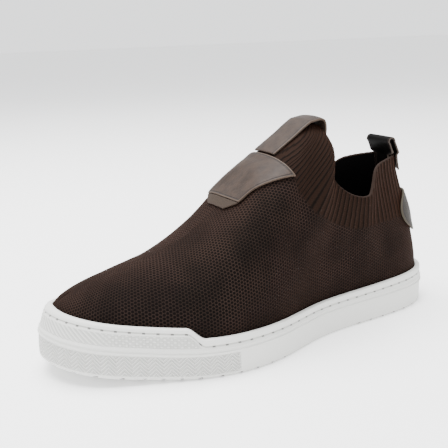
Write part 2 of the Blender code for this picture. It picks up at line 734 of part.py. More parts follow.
def make_tongue_loop(finish, group):
    """Up the tongue's ridge, on past its end, round a curl and back down inside it."""
    half = STRAP_WIDTH / 2.0
    lift = OVERLAY_GAP + LEATHER / 2.0
    y = np.linspace(SADDLE_REAR + GAP + LEATHER, STRAP_LEAVE, 7)
    laid = np.array([[on_rib(v, s * half) for s in ACROSS] for v in y])
    normal = normals(laid, UP)[:, 2]
    over = laid[:, 2] + normal * lift
    rows = [free_row(a[1:], STRAP_WIDTH, -n[1:] * STRAP_SAG) for a, n in zip(over, normal)]

    # Off the tongue, over a roll and back inside it, taking up the tongue's arch on the way
    crease = over[-1, 1:] + (over[-1, 1:] - over[-2, 1:])
    top = crease + np.array([LOOP_REACH, LOOP_RISE])
    down = np.array([0.0, -STRAP_SAG])
    rows += [free_row(crease + (top - crease) * t, STRAP_WIDTH, down) for t in (0.0, 0.5)]
    roll = arc(top - np.array([0.0, LOOP_ROUND]), top, -180.0, 10)
    y = np.linspace(roll[-1][0] - LOOP_LEAD, roll[-1][0] - LOOP_LEAD - LOOP_TUCK, 6)
    laid = np.array([[on_rib(v, s * half) for s in ACROSS] for v in y])
    tail = laid - normals(laid, UP) * (UPPER_WALL + lift + GAP)
    ease = np.array([1.0, 0.7, 0.4, 0.2, 0.1, 0.0])[:, None]
    tail[:, :, 2] += LOOP_ARCH * ease * (tail[:, :, 2] - tail[:, 2:3, 2]) - LOOP_DROP * ease
    arch = tail[0] - tail[0, 2]
    for k, point in enumerate(roll):
        share = np.array([0.0, smoothstep(k, 8.0, 10.0), smoothstep(k, 2.0, 7.5)])
        rows.append(free_row(point, STRAP_WIDTH, down * (1.0 - share[2])) + arch * share)
    rows += list(tail)
    return sheet("tongue_loop", rows, LEATHER, 0.0, UP, finish, group)


def make_heel_loop(finish, group):
    """Up the collar's inner face, round a narrow fold and down its outer face."""
    half = HEEL_LOOP_WIDTH / 2.0
    ribs = np.vstack([side.ribs[: RIDGE_STATION // 4] for side in (OUTER, INNER)])
    top = ribs[:, -1, 2].max()
    lowest = ribs[:4, -1, 2].min() - 1e-5

    def row(height, outset):
        points = np.array([on_heel(s * half, min(height, lowest)) for s in ACROSS])
        ahead = np.gradient(points, axis=0)
        outward = np.column_stack([-ahead[:, 1], ahead[:, 0]])
        outward /= np.linalg.norm(outward, axis=1)[:, None]
        points[:, :2] += outward * np.sign(outward[2, 1]) * outset
        points[:, 2] = height
        return points

    lift = OVERLAY_GAP + GAP + LEATHER / 2.0
    heights = np.linspace(top - HEEL_LOOP_TUCK, top + GAP, 5)
    inside = [row(h, -(UPPER_WALL + lift)) for h in heights]
    outside = [row(h, lift) for h in heights[::-1]]
    radius = (HEEL_LOOP_GAP + LEATHER) / 2.0
    edge = inside[-1][2, 1:]
    back = outside[0][2, 1:]
    forward = HEEL_LOOP_FORWARD + HEEL_LOOP_LEAN
    front = np.array([back[0] - forward, top + HEEL_LOOP_HEIGHT - radius])
    fold = arc(front + np.array([radius, 0.0]), front, -180.0, 9)
    bow = np.array([inside[-1][0, 1] - edge[0], 0.0])
    rows = list(inside)
    for t in (0.35, 0.7):
        rows.append(free_row(edge + (front - edge) * t, HEEL_LOOP_WIDTH, bow * (1.0 - t) * 0.6))
    rows += [free_row(point, HEEL_LOOP_WIDTH, bow * 0.15) for point in fold]
    for t in (0.35, 0.7):
        rows.append(free_row(fold[-1] + (back - fold[-1]) * t, HEEL_LOOP_WIDTH, bow * (0.15 + 0.6 * t)))
    rows += outside
    return sheet("heel_loop", rows, LEATHER, 0.0, UP, finish, group)


# The heel patch: a shield of leather on the back of the heel
def make_patch(finish, group):
    points = []
    for t in np.linspace(0.0, 1.0, 7):
        half = (PATCH_WAIST + (PATCH_WIDTH - PATCH_WAIST) * np.sin(np.pi * t) ** 0.8) / 2.0
        height = PATCH_FOOT + PATCH_HEIGHT * t
        points.append([on_heel(s * half, height) for s in np.linspace(-1.0, 1.0, 11)])
    return lay_on("heel_patch", points, LEATHER, np.array([0.0, 1.0, 0.0]), finish, group)


def build():
    for old in list(bpy.data.objects):
        bpy.data.objects.remove(old)
    shoe = collection("slip_on_sneaker")
    helpers = collection("cutters")
    rubber = material("white_rubber", (0.78, 0.78, 0.76), 0.55)
    foam = material("black_footbed", (0.012, 0.012, 0.012), 0.9)
    knit = material("brown_knit", (0.035, 0.024, 0.021), 0.85)
    leather = material("taupe_leather", (0.16, 0.12, 0.10), 0.42)
    strip = material("taupe_suede", (0.15, 0.11, 0.09), 0.8)
    patch = material("grey_leather", (0.15, 0.13, 0.11), 0.5)
    make_cupsole(rubber, shoe, helpers)
    make_insole(foam, shoe)
    make_upper(knit, shoe)
    make_saddle(leather, shoe)
    make_strip(strip, shoe)
    make_tongue_loop(leather, shoe)
    make_heel_loop(leather, shoe)
    make_patch(patch, shoe)


build()
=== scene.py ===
"""The looks of a left knit slip-on sneaker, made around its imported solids.

Metres, +Z up, the toe towards -Y, the shoe's outer side +X. A station is a place around
the sole's outline. From each one a rib runs up the upper, to the collar or to the ridge.
"""

from collections import namedtuple

import bmesh
import bpy
import numpy as np
from mathutils import Matrix


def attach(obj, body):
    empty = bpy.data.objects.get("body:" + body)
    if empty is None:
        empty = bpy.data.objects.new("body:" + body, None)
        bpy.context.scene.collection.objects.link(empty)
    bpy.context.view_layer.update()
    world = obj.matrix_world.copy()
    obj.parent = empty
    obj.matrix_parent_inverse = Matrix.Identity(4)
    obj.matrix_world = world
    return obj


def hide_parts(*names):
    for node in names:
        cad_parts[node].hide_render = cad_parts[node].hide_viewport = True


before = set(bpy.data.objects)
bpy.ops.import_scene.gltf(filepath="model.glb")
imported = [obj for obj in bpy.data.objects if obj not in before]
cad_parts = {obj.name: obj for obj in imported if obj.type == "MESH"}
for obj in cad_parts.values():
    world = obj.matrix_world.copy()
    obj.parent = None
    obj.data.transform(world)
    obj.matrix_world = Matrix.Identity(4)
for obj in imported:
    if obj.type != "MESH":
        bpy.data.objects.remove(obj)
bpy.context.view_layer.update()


# The last: the foot form that the shoe is made on. Its outline and sections give the
# shape of sole, upper and footbed, and every leather piece is laid on it.
SOLE_LENGTH = 0.302
HEEL_Y = SOLE_LENGTH / 2
BALL_WIDTH = 0.1105
HEEL_WIDTH = 0.0768
TOE_SWING = 0.0155
TOE_SPRING = 0.0115
SPRING_START = 0.64
COLLAR_HEIGHT = 0.1145
TONGUE_HEIGHT = 0.1435
RIDGE_LEAN = 0.0050
SOLE_FLOOR = 0.0090
GAP = 0.0003

# The outline from above. along: share of the length from the heel. outer, inner: half
# widths, as shares of half the width there, which grows from heel to ball.
Plan = namedtuple("Plan", "along outer inner")
OUTLINE = [
    Plan(0.020, 0.468, 0.470),
    Plan(0.070, 0.768, 0.770),
    Plan(0.150, 0.925, 0.950),
    Plan(0.270, 0.998, 0.950),
    Plan(0.400, 1.030, 0.800),
    Plan(0.520, 1.082, 0.740),
    Plan(0.640, 1.075, 0.865),
    Plan(0.740, 0.960, 0.936),
    Plan(0.830, 0.768, 0.890),
    Plan(0.910, 0.585, 0.775),
    Plan(0.965, 0.345, 0.585),
]

# A row for each section of the upper, from the heel's back to the toe's tip. base: share of
# the outline where its rib starts. along, half, height: where the rib ends, as shares of
# the length, half the heel's width and the named height. fullness, reach: how long the rib
# keeps its direction at foot and end. closing: 0 stands up, 1 lies over the foot. slant: how
# far the end leans back.
Section = namedtuple("Section", "base along half height of fullness reach closing slant")
SECTIONS = [
    Section(0.000, 0.086, 0.000, 1.001, "collar", 0.38, 0.16, 0.02, 0.00),
    Section(0.038, 0.091, 0.177, 1.001, "collar", 0.38, 0.17, 0.02, 0.00),
    Section(0.076, 0.107, 0.312, 0.999, "collar", 0.38, 0.18, 0.02, 0.00),
    Section(0.112, 0.138, 0.430, 0.991, "collar", 0.38, 0.20, 0.02, 0.00),
    Section(0.147, 0.166, 0.516, 0.980, "collar", 0.38, 0.22, 0.02, 0.00),
    Section(0.178, 0.186, 0.594, 0.961, "collar", 0.38, 0.25, 0.03, 0.00),
    Section(0.206, 0.199, 0.664, 0.926, "collar", 0.39, 0.28, 0.04, 0.00),
    Section(0.234, 0.211, 0.737, 0.863, "collar", 0.40, 0.30, 0.05, 0.00),
    Section(0.262, 0.227, 0.812, 0.814, "collar", 0.41, 0.30, 0.05, 0.00),
    Section(0.292, 0.251, 0.849, 0.810, "collar", 0.42, 0.30, 0.05, 0.00),
    Section(0.322, 0.276, 0.859, 0.827, "collar", 0.40, 0.31, 0.10, 0.50),
    Section(0.352, 0.304, 0.857, 0.864, "collar", 0.39, 0.34, 0.14, 0.40),
    Section(0.382, 0.329, 0.839, 0.922, "collar", 0.40, 0.37, 0.20, 0.20),
    Section(0.412, 0.341, 0.812, 0.990, "collar", 0.42, 0.36, 0.30, 0.30),
    Section(0.442, 0.331, 0.740, 1.062, "collar", 0.46, 0.30, 0.46, 1.20),
    Section(0.471, 0.317, 0.534, 1.156, "collar", 0.55, 0.28, 0.76, 1.80),
    Section(0.500, 0.321, 0.000, 1.005, "tongue", 0.58, 0.38, 1.00, 1.00),
    Section(0.528, 0.353, 0.000, 1.016, "tongue", 0.58, 0.38, 1.00, 1.00),
    Section(0.556, 0.397, 0.000, 0.958, "tongue", 0.60, 0.36, 1.00, 1.00),
    Section(0.585, 0.442, 0.000, 0.894, "tongue", 0.60, 0.36, 1.00, 1.00),
    Section(0.616, 0.490, 0.000, 0.820, "tongue", 0.60, 0.36, 1.00, 1.00),
    Section(0.648, 0.541, 0.000, 0.709, "tongue", 0.60, 0.36, 1.00, 1.00),
    Section(0.682, 0.598, 0.000, 0.614, "tongue", 0.60, 0.37, 1.00, 1.00),
    Section(0.718, 0.652, 0.000, 0.540, "tongue", 0.60, 0.39, 1.00, 1.00),
    Section(0.756, 0.707, 0.000, 0.483, "tongue", 0.61, 0.41, 1.00, 1.00),
    Section(0.796, 0.762, 0.000, 0.452, "tongue", 0.62, 0.43, 1.00, 1.00),
    Section(0.838, 0.813, 0.000, 0.424, "tongue", 0.63, 0.46, 1.00, 1.00),
    Section(0.880, 0.858, 0.000, 0.401, "tongue", 0.64, 0.48, 1.00, 1.00),
    Section(0.920, 0.894, 0.000, 0.377, "tongue", 0.64, 0.50, 1.00, 1.00),
    Section(0.960, 0.917, 0.000, 0.359, "tongue", 0.64, 0.50, 1.00, 1.00),
    Section(1.000, 0.924, 0.000, 0.350, "tongue", 0.64, 0.50, 1.00, 1.00),
]
RIDGE_ROW = 16
LAST_ROW = len(SECTIONS) - 1

# Three stations for each two rows, and one more where the collar turns up to the ridge
TURN_ROW = 15.7
STATION_ROWS = np.array(sorted([k / 1.5 for k in range(LAST_ROW * 3 // 2 + 1)] + [TURN_ROW]))
STATIONS = len(STATION_ROWS) - 1
RIDGE_STATION = list(STATION_ROWS).index(RIDGE_ROW)

# A rib's rows lie denser towards its end. Curves are first cut into fine steps, normals are
# averaged over neighbours, and the notch's ribs are evened out this many times.
RIB_ROWS = 10
DENSER = 0.38
FINE = 40
SOFTEN = 28
EVENING = 6
UP = np.array([0.0, 0.0, 1.0])


def smoothstep(value, start, end):
    """0 before start, 1 after end, and a smooth S between them."""
    t = np.clip((value - start) / (end - start), 0.0, 1.0)
    return t * t * (3.0 - 2.0 * t)


def unit(vectors):
    """Vectors brought to length 1."""
    return vectors / np.maximum(np.linalg.norm(vectors, axis=-1, keepdims=True), 1e-12)


def along(y):
    """Share of the sole's length from the heel."""
    return (HEEL_Y - y) / SOLE_LENGTH


def spring(y):
    """The toe's upward curve: a parabola from SPRING_START to the tip."""
    t = np.clip((along(y) - SPRING_START) / (1.0 - SPRING_START), 0.0, 1.0)
    return TOE_SPRING * t * t


def run(line):
    """The distance along a line of points, from its first one."""
    return np.concatenate([[0.0], np.cumsum(np.linalg.norm(np.diff(line, axis=0), axis=1))])


def at_length(line, length, wanted):
    """Points of a line at the wanted distances along it."""
    return np.stack([np.interp(wanted, length, line[:, k]) for k in range(line.shape[1])], -1)


def hermite(values, before, after, at):
    """A cubic through values one unit apart, with a slope before and after each of them."""
    i = np.clip(at.astype(int), 0, len(values) - 2)
    t = (at - i).reshape(-1, *[1] * (values.ndim - 1))
    return (
        values[i] * (2 * t**3 - 3 * t**2 + 1)
        + after[i] * (t**3 - 2 * t**2 + t)
        + values[i + 1] * (3 * t**2 - 2 * t**3)
        + before[i + 1] * (t**3 - t**2)
    )


def half_width(row_along, share):
    """A share of half the heel's or the ball's width."""
    ball = smoothstep(row_along, 0.30, 0.62)
    return share * (HEEL_WIDTH + ball * (BALL_WIDTH - HEEL_WIDTH)) / 2.0


def closed_spline(points, count):
    """Even points on the smooth closed curve through the given ones: a periodic cubic."""
    points = np.asarray(points, float)
    n = len(points)
    chord = np.linalg.norm(np.roll(points, -1, 0) - points, axis=1)
    before = np.roll(chord, 1)
    matrix = np.diag(2.0 * (before + chord))
    rows = np.arange(n)
    matrix[rows, (rows - 1) % n] += chord
    matrix[rows, (rows + 1) % n] += before
    ahead = (np.roll(points, -1, 0) - points) / chord[:, None]
    right = 3.0 * (ahead * before[:, None] + np.roll(ahead, 1, 0) * chord[:, None])
    slope = np.linalg.solve(matrix, right)
    t = np.linspace(0.0, 1.0, FINE, endpoint=False)[None, :, None]
    a, b = points[:, None], np.roll(points, -1, 0)[:, None]
    u, v = (slope * chord[:, None])[:, None], (np.roll(slope, -1, 0) * chord[:, None])[:, None]
    dense = (
        a * (2 * t**3 - 3 * t**2 + 1)
        + u * (t**3 - 2 * t**2 + t)
        + b * (3 * t**2 - 2 * t**3)
        + v * (t**3 - t**2)
    ).reshape(-1, 2)
    dense = np.vstack([dense, dense[:1]])
    length = run(dense)
    return at_length(dense, length, np.linspace(0.0, length[-1], count + 1))[:-1]


def outline_halves():
    """The widest outline and its outward normals, as (outer half, inner half)."""
    outer = [(half_width(r.along, r.outer), HEEL_Y - r.along * SOLE_LENGTH) for r in OUTLINE]
    inner = [(-half_width(r.along, r.inner), HEEL_Y - r.along * SOLE_LENGTH) for r in OUTLINE]
    dense = closed_spline([(0.0, HEEL_Y)] + outer + [(-TOE_SWING, -HEEL_Y)] + inner[::-1], 1600)
    dense -= (dense.max(0) + dense.min(0)) / 2.0
    edge = np.roll(dense, -1, 0) - np.roll(dense, 1, 0)
    normal = np.stack([-edge[:, 1], edge[:, 0]], -1)
    normal = unit(sum(np.roll(normal, k, 0) for k in range(-SOFTEN, SOFTEN + 1)))
    tip = int(dense[:, 1].argmin())
    back = np.arange(len(dense), tip - 1, -1) % len(dense)
    return (dense[: tip + 1], normal[: tip + 1]), (dense[back], normal[back])


OUTER_HALF, INNER_HALF = outline_halves()
CENTRE_X = OUTER_HALF[0][0][0]


def ridge_x(y):
    """The ridge over the foot leans to the inner side and ends at the toe's tip."""
    forward = smoothstep(along(y), 0.36, 0.60)
    toe = smoothstep(along(y), 0.80, 1.0)
    return CENTRE_X - RIDGE_LEAN * forward - (TOE_SWING - RIDGE_LEAN) * 0.8 * toe


def through_rows(rows, share, level=False):
    """A cubic through the table's rows that may turn where the ridge starts."""
    slope = np.gradient(rows)
    if level:
        slope[[0, -1]] = 0.0
    before, after = slope.copy(), slope.copy()
    before[RIDGE_ROW] = 0.0 if level else rows[RIDGE_ROW] - rows[RIDGE_ROW - 1]
    after[RIDGE_ROW] = rows[RIDGE_ROW + 1] - rows[RIDGE_ROW]
    return hermite(rows, before, after, np.asarray(share) * LAST_ROW)


def column(name, share):
    """A column of the section table at shares of the way from heel to toe."""
    return through_rows(np.array([getattr(row, name) for row in SECTIONS]), share, name == "along")


# The cup's wall stands this far outside the upper, and leans in and bulges at the toe
SIDE_HEIGHT = 0.0260
HEEL_RISE = 0.0018
BUMPER_RISE = 0.0070
SOLE_WALL = 0.0036
WALL_GAP = 0.0004
RIB_PROUD = 0.0008
RIM_DEPTH = 0.0050
TOE_LEAN = 0.0060
TOE_BULGE = 0.0022


class Half:
    """One half of the last, outer (+1) or inner (-1), with one row for each station."""

    def __init__(self, sign, half):
        self.share = STATION_ROWS / LAST_ROW
        line, normal = half
        length = run(line)
        base = column("base", self.share) * length[-1]
        self.base = base
        self.plan = at_length(line, length, base)
        self.normal = unit(at_length(normal, length, base))
        self.fit()
        self.ribs = self.make_ribs(sign)

    def fit(self):
        """What the plan gives: lean, bulge and lift of the sole, and the upper's foot."""
        at = along(self.plan[:, 1])
        self.lean = TOE_LEAN * smoothstep(at, 0.70, 0.97)
        self.bulge = TOE_BULGE * smoothstep(at, 0.84, 1.0)
        inset = RIB_PROUD + SOLE_WALL + WALL_GAP + self.lean
        self.foot = self.plan - self.normal * inset[:, None]
        self.lift = spring(self.plan[:, 1])
        heel = HEEL_RISE * smoothstep(-at, -0.34, -0.04)
        self.rim = SIDE_HEIGHT + heel + BUMPER_RISE * smoothstep(at, 0.712, 0.752) + self.lift
        self.seat = SIDE_HEIGHT + BUMPER_RISE * smoothstep(at, 0.62, 0.86) + self.lift - RIM_DEPTH

    def make_ribs(self, sign):
        """Each rib as points: straight up inside the sole, then a cubic up to its end."""
        ridge = (np.arange(STATIONS + 1) >= RIDGE_STATION)[:, None]
        y = HEEL_Y - column("along", self.share) * SOLE_LENGTH
        half = column("half", self.share) * HEEL_WIDTH / 2.0
        named = {"collar": COLLAR_HEIGHT, "tongue": TONGUE_HEIGHT}
        tall = np.array([row.height * named[row.of] for row in SECTIONS])
        x = np.where(ridge[:, 0], ridge_x(y), CENTRE_X + sign * half)
        top = np.stack([x, y, through_rows(tall, self.share, level=True)], -1)
        start = np.column_stack([self.foot, self.seat])
        floor = np.column_stack([self.foot, SOLE_FLOOR + GAP + self.lift])
        rise = (top[:, 2] - start[:, 2])[:, None]
        across = np.linalg.norm(top[:, :2] - start[:, :2], axis=1)[:, None]
        ahead = np.gradient(top, axis=0)
        ahead[RIDGE_STATION] = top[RIDGE_STATION + 1] - top[RIDGE_STATION]
        facing = np.column_stack([self.normal, np.zeros(len(y))])
        over = -facing * [1.0, 0.0, 0.0] + unit(-ahead) * np.maximum(-facing[:, 1:2], 0.0)
        over = unit(np.where(ridge, over, -facing))
        closing = column("closing", self.share)[:, None]
        slant = column("slant", self.share) * (top[:, 1] - start[:, 1])
        upward = unit(np.column_stack([np.zeros(len(y)), slant, rise[:, 0]]))
        end = unit((1.0 - closing) * upward + closing * over)
        first = start + UP * rise * column("fullness", self.share)[:, None]
        reach = column("reach", self.share)[:, None]
        last = top - end * reach * (closing * across + (1.0 - closing) * rise)
        t = np.linspace(0.0, 1.0, FINE)[None, :, None]
        curve = (
            start[:, None] * (1 - t) ** 3
            + first[:, None] * 3 * t * (1 - t) ** 2
            + last[:, None] * 3 * t**2 * (1 - t)
            + top[:, None] * t**3
        )
        t = np.linspace(0.0, 1.0, RIB_ROWS)
        places = t * (1.0 + DENSER * (1.0 - t))
        rows = [at_length(rib, run(rib), run(rib)[-1] * places) for rib in curve]
        ribs = np.concatenate([floor[:, None], rows], axis=1)

        # Evened out below the notch beside the tongue, where the ribs' ends spread
        spread = smoothstep(self.share, 0.28, 0.40) * smoothstep(-self.share, -0.68, -0.56)
        for share in (0.50, -0.44) * EVENING:
            middle = (ribs[:-2, 2:-1] + ribs[2:, 2:-1] + ribs[1:-1, 1:-2] + ribs[1:-1, 3:]) / 4.0
            ribs[1:-1, 2:-1] += share * spread[1:-1, None, None] * (middle - ribs[1:-1, 2:-1])
        return ribs

    def at_height(self, z):
        """The point of each rib at a height."""
        found = [at_length(rib[:, :2], rib[:, 2], np.array([h]))[0] for rib, h in zip(self.ribs, z)]
        return np.column_stack([found, z])


OUTER = Half(1.0, OUTER_HALF)
INNER = Half(-1.0, INNER_HALF)

# Finer halves for the surfaces that show: cubics through the last's stations and rows
STATION_STEPS = 6
ROW_STEPS = 8
RIDGE = RIDGE_STATION * STATION_STEPS
CORNER_ROWS = 5


def finer_ribs(half, other):
    """The grid of ribs made finer with cubics, first around the shoe and then up it."""
    grid = half.ribs
    padded = np.concatenate([other.ribs[1:2], grid, other.ribs[-2:-1]])
    slope = (padded[2:] - padded[:-2]) / 2.0
    before, after = slope.copy(), slope.copy()
    turn = smoothstep(np.arange(RIB_ROWS + 1), RIB_ROWS - CORNER_ROWS, RIB_ROWS)[:, None]
    i = RIDGE_STATION
    before[i] += turn * (grid[i] - grid[i - 1] - slope[i])
    after[i] += turn * (grid[i + 1] - grid[i] - slope[i])
    at = np.arange(STATIONS * STATION_STEPS + 1) / STATION_STEPS
    return hermite(grid, before, after, at).swapaxes(0, 1)


def finer_rows(grid, other):
    """Cubics up the ribs. Over the ridge each goes on into the other half's rib."""
    beyond = 2.0 * grid[-1] - grid[-2]
    beyond[RIDGE:] = other[-2, RIDGE:]
    padded = np.concatenate([2.0 * grid[:1] - grid[1:2], grid, beyond[None]])
    slope = (padded[2:] - padded[:-2]) / 2.0
    slope[1] = (grid[2] - grid[1]) * 0.9
    at = np.arange(RIB_ROWS * ROW_STEPS + 1) / ROW_STEPS
    return hermite(grid, slope, slope, at)


class FineHalf(Half):
    """A half of the last with its stations and rows made finer."""

    def __init__(self, sign, half, outline, grid, other):
        line, normal = outline
        length = run(line)
        at = np.arange(STATIONS * STATION_STEPS + 1) / STATION_STEPS
        slope = np.gradient(half.base)
        self.sign = sign
        self.base = hermite(half.base, slope, slope, at)
        self.row = np.interp(at, np.arange(STATIONS + 1), STATION_ROWS)
        self.plan = at_length(line, length, self.base)
        self.normal = unit(at_length(normal, length, self.base))
        self.fit()
        self.grid = finer_rows(grid, other)
        self.ribs = self.grid.swapaxes(0, 1)


coarse = [finer_ribs(OUTER, INNER), finer_ribs(INNER, OUTER)]
SIDES = [
    FineHalf(1.0, OUTER, OUTER_HALF, coarse[0], coarse[1]),
    FineHalf(-1.0, INNER, INNER_HALF, coarse[1], coarse[0]),
]


def face_normals(grid, ahead=None):
    """Unit normals of a grid of points: across its rows, times along its columns."""
    ahead = np.gradient(grid, axis=1) if ahead is None else ahead
    return unit(np.cross(ahead, np.gradient(grid, axis=0)))


def shared_normals():
    """Outward normals of both halves, the same where the halves meet."""
    found = [face_normals(side.grid) * side.sign for side in SIDES]
    found = [n * np.sign(n[2, RIDGE, 0] * side.sign) for n, side in zip(found, SIDES)]
    for place in ((slice(None), 0), (slice(None), -1), (-1, slice(RIDGE, None))):
        both = unit(found[0][place] + found[1][place])
        found[0][place] = found[1][place] = both
    return found


NORMALS = shared_normals()


# The cupsole: one white rubber cup, moulded with a raised toe bumper, ribs round its side
# and a stitched groove under the rim. Moulded rubber is matte with a soft, wide sheen.
LOWER_WALL = 0.0160
RIB_HEIGHT = 0.0012
RIB_PITCH = 0.0026
GROOVE_DEPTH = 0.0009
GROOVE_WIDTH = 0.0008
GROOVE_DROP = 0.0046
BUMPER_GROOVE = 0.0031
RIM_ROUND = 0.0010
EDGE_ROUND = 0.0016
STITCH_PITCH = 0.0086
STITCH_LENGTH = 0.0022
CAP_STEPS = 13

# Textures of the rubber. Reaches are metres round from the toe's tip, heights from the tread
TOE_WALL_REACH = 0.1390
TOE_WALL_LOW = 0.0022
TOE_WALL_TOP = 0.0156
BAND_REACH = 0.116
BAND_LOW = 0.0204
BARS_START = 0.062
BARS_WHOLE = 0.046
TEXTURE_EDGE = 0.0008
HERRINGBONE_FOLD = 0.0048
HERRINGBONE_PITCH = 0.0025
STUD_PITCH = 0.0042
STUD_TALL = 1.35
BAR_PITCH = 0.0040
RUBBER_RELIEF = 0.00040
# The rubber's white, then painted shade for the groove, for the low rubber between lines and studs and for
# the needle holes
RUBBER_WHITE = "C9C9C5"
GROOVE_PAINTED_SHADE = "9C9C97"
LOW_RUBBER_PAINTED_SHADE = "8E8E8A"
NEEDLE_HOLE_PAINTED_SHADE = "3A3834"
Edge = namedtuple("Edge", "of height outset leans")


def cup_profile():
    """The cup's section from its tread up, over the rim and down inside."""
    wall = SOLE_WALL + WALL_GAP
    proud = wall + RIB_PROUD
    second = LOWER_WALL + RIB_PITCH
    rim = [(-0.35, 1.0), (-0.08, 0.62), (0.0, 0.0)]
    return [
        Edge("tread", 0.0, proud - EDGE_ROUND * 1.6, 1),
        Edge("tread", EDGE_ROUND * 0.12, proud - EDGE_ROUND * 1.0, 1),
        Edge("tread", EDGE_ROUND * 0.5, proud - EDGE_ROUND * 0.62, 1),
        Edge("tread", EDGE_ROUND * 1.1, proud - EDGE_ROUND * 0.5, 1),
        Edge("tread", EDGE_ROUND * 1.8, wall, 1),
        Edge("tread", LOWER_WALL * 0.5, wall, 1),
        Edge("tread", LOWER_WALL, wall, 1),
        Edge("tread", LOWER_WALL + RIB_HEIGHT * 0.15, proud - RIB_PROUD * 0.3, 1),
        Edge("tread", LOWER_WALL + RIB_HEIGHT * 0.5, proud, 1),
        Edge("tread", LOWER_WALL + RIB_HEIGHT * 0.9, proud - RIB_PROUD * 0.3, 1),
        Edge("tread", LOWER_WALL + RIB_HEIGHT * 1.15, wall, 1),
        Edge("tread", second, wall, 1),
        Edge("tread", second + RIB_HEIGHT * 0.3, wall + RIB_PROUD * 0.6, 1),
        Edge("tread", second + RIB_HEIGHT * 0.8, wall + RIB_PROUD * 0.6, 1),
        Edge("tread", second + RIB_HEIGHT * 1.2, wall - RIB_PROUD * 0.2, 1),
        Edge("groove", -GROOVE_WIDTH * 1.5, wall - RIB_PROUD * 0.2, 1),
        Edge("groove", -GROOVE_WIDTH * 0.5, wall - RIB_PROUD * 0.3, 1),
        Edge("groove", -GROOVE_WIDTH * 0.1, wall - GROOVE_DEPTH * 0.9, 1),
        Edge("groove", GROOVE_WIDTH * 0.3, wall - GROOVE_DEPTH, 1),
        Edge("groove", GROOVE_WIDTH * 0.8, wall - RIM_ROUND * 0.2, 1),
        Edge("groove", GROOVE_WIDTH * 1.4, wall, 1),
        *[Edge("rim", RIM_ROUND * h, wall - RIM_ROUND * (1.0 - s), 1) for h, s in rim],
        Edge("rim", 0.0, WALL_GAP + RIM_ROUND * 0.8, 0),
        Edge("rim", -RIM_ROUND * 0.35, WALL_GAP + RIM_ROUND * 0.2, 0),
        Edge("rim", -RIM_ROUND * 1.2, WALL_GAP, 0),
        Edge("seat", 0.0, WALL_GAP, 0),
        Edge("tread", SOLE_FLOOR, WALL_GAP, 0),
    ]


def groove_line(side):
    """The stitched groove's height: under the rim, and closer to it on the toe bumper."""
    bumper = smoothstep(along(side.plan[:, 1]), 0.712, 0.752)
    return side.rim - GROOVE_DROP + (GROOVE_DROP - BUMPER_GROOVE) * bumper


def cup_ring(side, edge):
    """A line of the cup's section around one half, and its (distance round, height)."""
    level = {"tread": side.lift, "seat": side.seat, "rim": side.rim, "groove": groove_line(side)}
    z = edge.height + level[edge.of]
    share = (z - side.lift) / (side.rim - side.lift)
    lean = side.lean * (1.0 - share) + side.bulge * np.sin(np.pi * np.clip(share, 0.0, 1.0))
    point = side.at_height(z)
    point[:, :2] += side.normal * (edge.outset + edge.leans * lean)[:, None]
    return point, np.column_stack([side.base, z - side.lift])


def flat_cap(first, second, map_first, map_second):
    """A sheet from one line to another: straight rungs between their points, evenly cut."""
    t = np.linspace(0.0, 1.0, CAP_STEPS)[:, None, None]
    return first * (1.0 - t) + second * t, map_first * (1.0 - t) + map_second * t


def link(name, mesh, finishes):
    """An object at the origin with its finishes, smooth, riding on the shoe."""
    for material in finishes:
        mesh.materials.append(material)
    made = bpy.data.objects.new(name, mesh)
    bpy.context.scene.collection.objects.link(made)
    mesh.shade_smooth()
    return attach(made, "root")


def grid_faces(rows, columns, flip):
    """Quads of a grid of points, row by row, turned over if flip."""
    i, j = np.meshgrid(np.arange(rows - 1), np.arange(columns - 1), indexing="ij")
    a = (i * columns + j).ravel()
    faces = np.stack([a, a + 1, a + columns + 1, a + columns], -1)
    return faces[:, ::-1] if flip else faces


Patch = namedtuple("Patch", "points flip finish maps")


def surface(name, patches, finishes, sharp=40.0):
    """One mesh from grids of points, merged where they meet; maps are (u, v) per point."""
    points, faces, finish, maps = [], [], [], {}
    first = 0
    for patch in patches:
        rows, columns = patch.points.shape[:2]
        quads = grid_faces(rows, columns, patch.flip)
        points.append(patch.points.reshape(-1, 3))
        faces.append(quads + first)
        finish.append(np.full(len(quads), patch.finish, np.int32))
        for key, values in patch.maps.items():
            maps.setdefault(key, []).append(values.reshape(-1, 2)[quads.ravel()])
        first += rows * columns
    points, faces = np.vstack(points), np.vstack(faces)
    mesh = bpy.data.meshes.new(name)
    mesh.from_pydata(points, [], faces)
    mesh.polygons.foreach_set("material_index", np.concatenate(finish))
    for key, values in maps.items():
        mesh.uv_layers.new(name=key).uv.foreach_set("vector", np.vstack(values).astype(np.float32).ravel())
    built = bmesh.new()
    built.from_mesh(mesh)
    bmesh.ops.remove_doubles(built, verts=built.verts, dist=2e-6)
    built.to_mesh(mesh)
    built.free()
    made = link(name, mesh, finishes)
    mesh.set_sharp_from_angle(angle=np.radians(sharp))
    return made


def linear(hexa):
    """An sRGB hex colour as linear numbers."""
    value = np.array([int(hexa[k : k + 2], 16) for k in (0, 2, 4)]) / 255.0
    value = np.where(value <= 0.04045, value / 12.92, ((value + 0.055) / 1.055) ** 2.4)
    return (*value, 1.0)


def node(tree, kind, inputs=(), **settings):
    """A node with its settings; inputs maps a socket's name or number to a value or link."""
    made = tree.nodes.new(kind)
    for key, value in settings.items():
        setattr(made, key, value)
    for key, value in dict(inputs).items():
        if isinstance(value, bpy.types.NodeSocket):
            tree.links.new(value, made.inputs[key])
        else:
            made.inputs[key].default_value = value
    return made


def math(tree, operation, *values):
    """One math step on links or numbers."""
    return node(tree, "ShaderNodeMath", dict(enumerate(values)), operation=operation).outputs[0]


def mixed(tree, factor, a, b):
    """Two colours mixed by a factor."""
    made = node(tree, "ShaderNodeMix", {0: factor}, data_type="RGBA")
    for socket, value in ((made.inputs[6], a), (made.inputs[7], b)):
        if isinstance(value, bpy.types.NodeSocket):
            tree.links.new(value, socket)
        else:
            socket.default_value = value
    return made.outputs[2]


